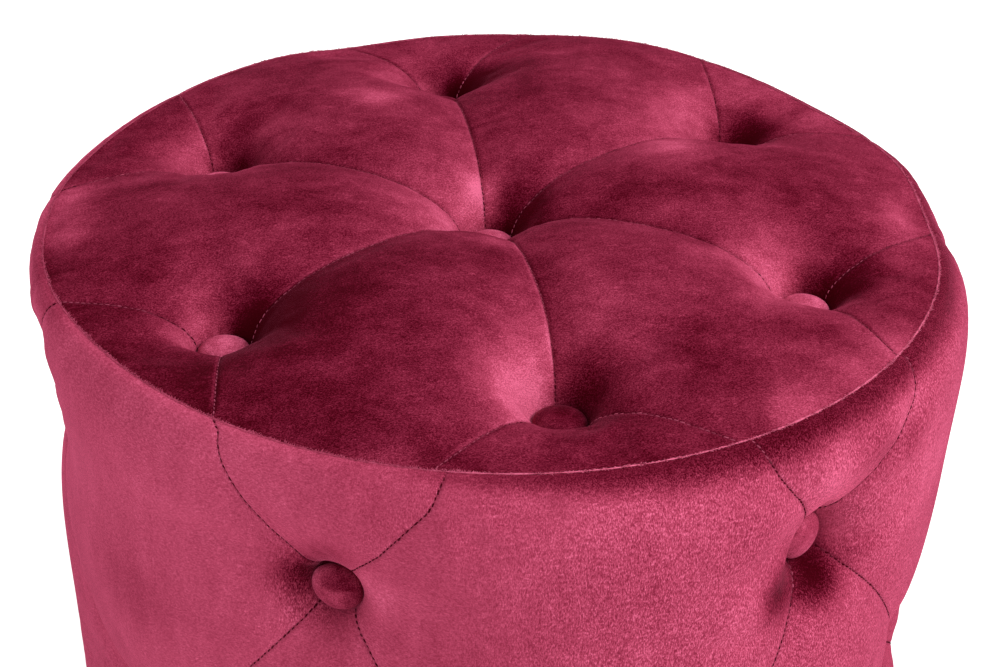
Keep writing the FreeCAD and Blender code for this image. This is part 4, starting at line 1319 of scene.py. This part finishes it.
def group(name, sockets_in, sockets_out):
    """An empty effect with named inputs, each a kind and a value, and named outputs."""
    tree = bpy.data.node_groups.new(name, "ShaderNodeTree")
    for label, (kind, value) in sockets_in.items():
        tree.interface.new_socket(label, in_out="INPUT", socket_type=kind).default_value = value
    for label, kind in sockets_out.items():
        tree.interface.new_socket(label, in_out="OUTPUT", socket_type=kind)
    return tree, tree.nodes.new("NodeGroupInput").outputs, tree.nodes.new("NodeGroupOutput").inputs


def pile_specks(tree, place, scale):
    return eased(tree, noise(tree, place, scale, 1.0, 0.5), *SPECK_BAND)


def nap_shade(tree, level):
    """The velvet's colour at a level of its nap."""
    ramp = add(tree, "ShaderNodeValToRGB", {0: level})
    stops = ramp.color_ramp.elements
    for i, (share, tone) in enumerate(VELVET_TONES):
        stop = stops[i] if i < 2 else stops.new(share)
        stop.position, stop.color = share, srgb(*tone)
    return ramp.outputs[0]


def velvet_pile():
    """Crushed velvet: a tone that follows the lie of the nap with its painted light and shade, in brushed patches and
    fine streaks of pile; painted shade darkens the wells, and partly the pile beside buttons and at seams.
    """
    tree, given, gives = group(
        "velvet pile",
        {
            "Nap": (FLOAT, 0.4), "Brushing": (FLOAT, 0.2), "Patch Size": (FLOAT, 15.0), "Grain": (FLOAT, 0.1),
            "Run": (VECTOR, (0.3, 1, 1)), "Cross Run": (VECTOR, (1, 1, 1)), "Swing": (FLOAT, 0.0),
            "Seam": (FLOAT, 0.0), "Well": (FLOAT, 0.0), "Crush": (FLOAT, 0.0),
        },
        {"Color": COLOUR, "Height": FLOAT, "Roughness": FLOAT},
    )
    place = tree.nodes.new("ShaderNodeNewGeometry").outputs["Position"]
    along, crossing = stretched(tree, place, given["Run"]), stretched(tree, place, given["Cross Run"])
    patches = noise(tree, place, given["Patch Size"], 3.0, 0.55, 0.8)
    brushed = noise(tree, along, BRUSHED_SCALE, 3.0, 0.6, 0.3)
    streaks, fine = (
        mixed(tree, given["Swing"], pile_specks(tree, along, scale), pile_specks(tree, crossing, scale))
        for scale in PILE_SCALES
    )
    flecks = eased(tree, noise(tree, stretched(tree, place, FLECK_RUN), FLECK_SCALE, 0.0), *FLECK_BAND)
    rub = plus(tree, minus(tree, patches, 0.5), times(tree, minus(tree, brushed, 0.5), BRUSHED_SHARE))
    grain = plus(tree, minus(tree, plus(tree, streaks, fine), 1.0), times(tree, flecks, FLECK_SHARE))
    pressed = plus(tree, CRUSH_AND_SHADE_SHARES[0], times(tree, patches, CRUSH_AND_SHADE_SHARES[1]))
    level = plus(tree, given["Nap"], times(tree, rub, given["Brushing"]))
    level = plus(tree, level, times(tree, grain, given["Grain"]))
    # partly pressed pile, partly painted shade beside the buttons
    level = minus(tree, level, times(tree, given["Crush"], pressed))
    # painted shade: darker in a button's well
    level = minus(tree, level, times(tree, given["Well"], WELL_SHADE_SHARE), clamp=True)
    # a seam's dark line, partly parted pile and partly painted shade in the crease
    shade = blend_colour(tree, times(tree, given["Seam"], SEAM_LINE_AND_SHADE_SHARE), nap_shade(tree, level), srgb(*SEAM_LINE_AND_SHADE_TONE))
    height = plus(tree, times(tree, streaks, RELIEF_SHARES[0]), times(tree, fine, RELIEF_SHARES[1]))
    feed(tree, gives["Color"], shade)
    feed(tree, gives["Height"], height)
    feed(tree, gives["Roughness"], plus(tree, PILE_ROUGHNESS[0], times(tree, patches, PILE_ROUGHNESS[1])))
    return tree


# The nap kept on a cover, which carries its painted light and shade as well.
def cover_nap_and_shading(tree):
    return kept_value(tree, "nap")


def side_swing(tree):
    """On one half of the side the pile is brushed round the body, on the other it hangs down."""
    return eased(tree, facing(tree, NAP_AND_LIGHT_HEADING), -0.65, 0.25, 1.0, 0.0)


def side_grain(tree):
    """The pile shows its grain where it hangs down and lies smooth where it is brushed round."""
    return eased(tree, facing(tree, NAP_AND_LIGHT_HEADING), -0.6, 0.45, 0.14, 0.3)


def button_nap_and_shading(edge, face):
    """The nap of a button, lighter or darker on the edge turned against the nap's heading, away from the light, than
    on its face: partly its own nap and partly painted light and shade.
    """
    def nap(tree):
        # painted light and shade: the edge turned away from the light darker or lighter than the face
        return eased(tree, facing(tree, NAP_AND_LIGHT_HEADING), -0.75, 0.1, edge, face)
    return nap


def new_finish(name):
    material = bpy.data.materials.new(name)
    material.use_nodes = True
    return material, material.node_tree


def set_shader(tree, values):
    shader = tree.nodes["Principled BSDF"]
    for key, value in values.items():
        feed(tree, shader.inputs[key], value)


def velvet(name, effect, nap, values, sheen):
    """A velvet with its own nap and values; each may be a function that makes it of nodes."""
    material, tree = new_finish(name)
    used = tree.nodes.new("ShaderNodeGroup")
    used.node_tree = effect
    for key, value in {**values, "Nap": nap}.items():
        feed(tree, used.inputs[key], value(tree) if callable(value) else value)
    for label in ("Seam", "Well", "Crush"):
        feed(tree, used.inputs[label], kept_value(tree, label.lower()))
    bump = add(tree, "ShaderNodeBump", {"Height": used.outputs["Height"], "Strength": 0.35, "Distance": 0.0004})
    set_shader(tree, {
        "Base Color": used.outputs["Color"], "Roughness": used.outputs["Roughness"], "Normal": bump.outputs[0],
        "Specular IOR Level": 0.0, "Sheen Weight": sheen, "Sheen Roughness": 0.28, "Sheen Tint": srgb(*SHEEN_TONE),
    })
    return material


def toned_finish(name, dark, light, rough):
    """A finish that goes from dark to light by the nap kept on the piece, a little uneven."""
    material, tree = new_finish(name)
    uneven = times(tree, minus(tree, noise(tree, object_place(tree), 600.0), 0.5), 0.6)
    share = plus(tree, kept_value(tree, "nap"), uneven, clamp=True)
    shade = blend_colour(tree, share, srgb(*dark), srgb(*light))
    set_shader(tree, {"Base Color": shade, "Roughness": rough, "Specular IOR Level": 0.0})
    return material


def plain_finish(name, tone, second, scale, rough, stretch=(1, 1, 1), metallic=0.0, bump=0.2):
    """A finish whose tone wanders between two colours, with a matching fine relief."""
    material, tree = new_finish(name)
    pattern = noise(tree, stretched(tree, object_place(tree), stretch), scale, 4.0, 0.6, 0.4)
    relief = add(tree, "ShaderNodeBump", {"Height": pattern, "Strength": bump, "Distance": 0.0005})
    set_shader(tree, {
        "Base Color": blend_colour(tree, pattern, srgb(*tone), srgb(*second)), "Metallic": metallic,
        "Roughness": plus(tree, rough - 0.08, times(tree, pattern, 0.16)), "Normal": relief.outputs[0],
    })
    return material


def dress(node, material):
    node.data.materials.clear()
    node.data.materials.append(material)
    for slot in node.material_slots:
        slot.material = material


def dress_nodes(nodes, button_velvets):
    for finish, starts, tone, second, scale, rough, extras in NODE_FINISHES:
        material = plain_finish(finish, tone, second, scale, rough, **extras)
        for name, node in nodes.items():
            if name.startswith(starts):
                dress(node, material)
    for name, node in nodes.items():
        if name.startswith(("top_button_", "side_button_")):
            usual = "pale" if name.startswith("top") else "rose"
            tone = next((tone for tone, wearers in BUTTON_TONES.items() if name in wearers), usual)
            dress(node, button_velvets[tone])


def lay_floor():
    """A pale floor that keeps the shadow."""
    reach = FLOOR_REACH / MM
    corners = [(-reach, -reach, 0), (reach, -reach, 0), (reach, reach, 0), (-reach, reach, 0)]
    floor = mesh_piece("floor", corners, [(0, 1, 2), (0, 2, 3)])
    material, tree = new_finish("floor_paint")
    seen = tree.nodes.new("ShaderNodeLightPath").outputs["Is Camera Ray"]
    tone = blend_colour(tree, noise(tree, object_place(tree), 3.0), srgb(252, 252, 252), srgb(249, 249, 249))
    set_shader(tree, {
        "Base Color": tone, "Roughness": 0.9, "Specular IOR Level": 0.0, "Emission Color": (1, 1, 1, 1),
        "Emission Strength": times(tree, seen, FLOOR_GLOW),
    })
    dress(floor, material)


def hang_surround():
    """A surround that is white to the camera, gloss and glass, and a softer light to the rest."""
    bpy.context.scene.view_settings.view_transform = "Standard"
    world = bpy.data.worlds.new("surround")
    bpy.context.scene.world = world
    world.use_nodes = True
    tree = world.node_tree
    tree.nodes.clear()
    rays = tree.nodes.new("ShaderNodeLightPath").outputs
    seen = higher(tree, higher(tree, rays["Is Camera Ray"], rays["Is Glossy Ray"]), rays["Is Transmission Ray"])
    strength = plus(tree, WORLD_LEVEL, times(tree, seen, 1.0 - WORLD_LEVEL))
    sky = add(tree, "ShaderNodeBackground", {"Color": (1, 1, 1, 1), "Strength": strength})
    add(tree, "ShaderNodeOutputWorld", {0: sky.outputs[0]})


# ---- the run ----


def button_points(node):
    return np.array([v.co[:] for v in node.data.vertices]) / MM


def top_button_place(name, node):
    """The middle of a top button's flat back, in mm."""
    middle = button_points(node).mean(0)
    middle[2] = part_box(name)[0].z / MM
    return middle


def side_button_place(node):
    """The middle of a side button's flat back, in mm."""
    points = button_points(node)
    middle = points.mean(0)
    outward = np.array([middle[0], middle[1], 0]) / math.hypot(middle[0], middle[1])
    back = (points @ outward).min()
    return np.array([*(outward[:2] * back), (points[:, 2].min() + points[:, 2].max()) / 2])


nodes = dict(sorted(frame["nodes"].items()))
top_cover = lay_out_top({n: top_button_place(n, node) for n, node in nodes.items() if n.startswith("top_button_")})
side_buttons = {n: side_button_place(node) for n, node in nodes.items() if n.startswith("side_button_")}
section = side_section()
side_cover = lay_out_side(side_buttons, section)
top_piece, top_shape, top_lie_and_shading = build_top(top_cover)
side_piece, side_shape, side_lie_and_shading = build_side(side_cover, section, list(side_buttons))
top_thread = stitch_seams("top_thread", top_cover, top_shape, top_lie_and_shading, TOP_STITCH, ("rim",))
side_thread = stitch_seams("side_thread", side_cover, side_shape, side_lie_and_shading, SIDE_STITCH, ("rim", "hem"))
seam_roll, seam_tufts = rim_roll(), rim_pile()

pile = velvet_pile()
top_values = {"Brushing": 0.6, "Patch Size": 17.0, "Grain": 0.22, "Run": (0.7, 1, 1)}
side_values = {
    "Brushing": 0.28, "Patch Size": 13.0, "Grain": side_grain, "Run": (1, 1, 0.35), "Cross Run": (0.42, 0.42, 1),
    "Swing": side_swing,
}
button_values = {"Brushing": 0.7, "Patch Size": 85.0, "Grain": 0.2, "Run": (1, 1, 1)}
# The thread's light tone is a painted highlight.
thread = toned_finish("thread", (66, 6, 20), (204, 92, 122), 0.7)
# The loose pile's light tone is partly painted sheen; the finish has none of its own.
loose_pile = toned_finish("loose_pile", (160, 56, 84), (236, 116, 150), 0.8)
dress_nodes(nodes, {
    tone: velvet(f"{tone}_button_velvet", pile, button_nap_and_shading(*naps), button_values, 0.3)
    for tone, naps in BUTTON_NAPS_AND_SHADING.items()
})
for piece, material in (
    (top_piece, velvet("top_velvet", pile, cover_nap_and_shading, top_values, 0.2)),
    (side_piece, velvet("side_velvet", pile, cover_nap_and_shading, side_values, 1.0)),
    (top_thread, thread), (side_thread, thread), (seam_roll, loose_pile), (seam_tufts, loose_pile),
):
    dress(piece, material)
    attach(piece, "root")
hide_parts("top_cover", "top_wadding", "top_foam")
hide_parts("side_cover", "side_wadding", "side_foam")

lay_floor()
hang_surround()
light_studio()
place_camera()
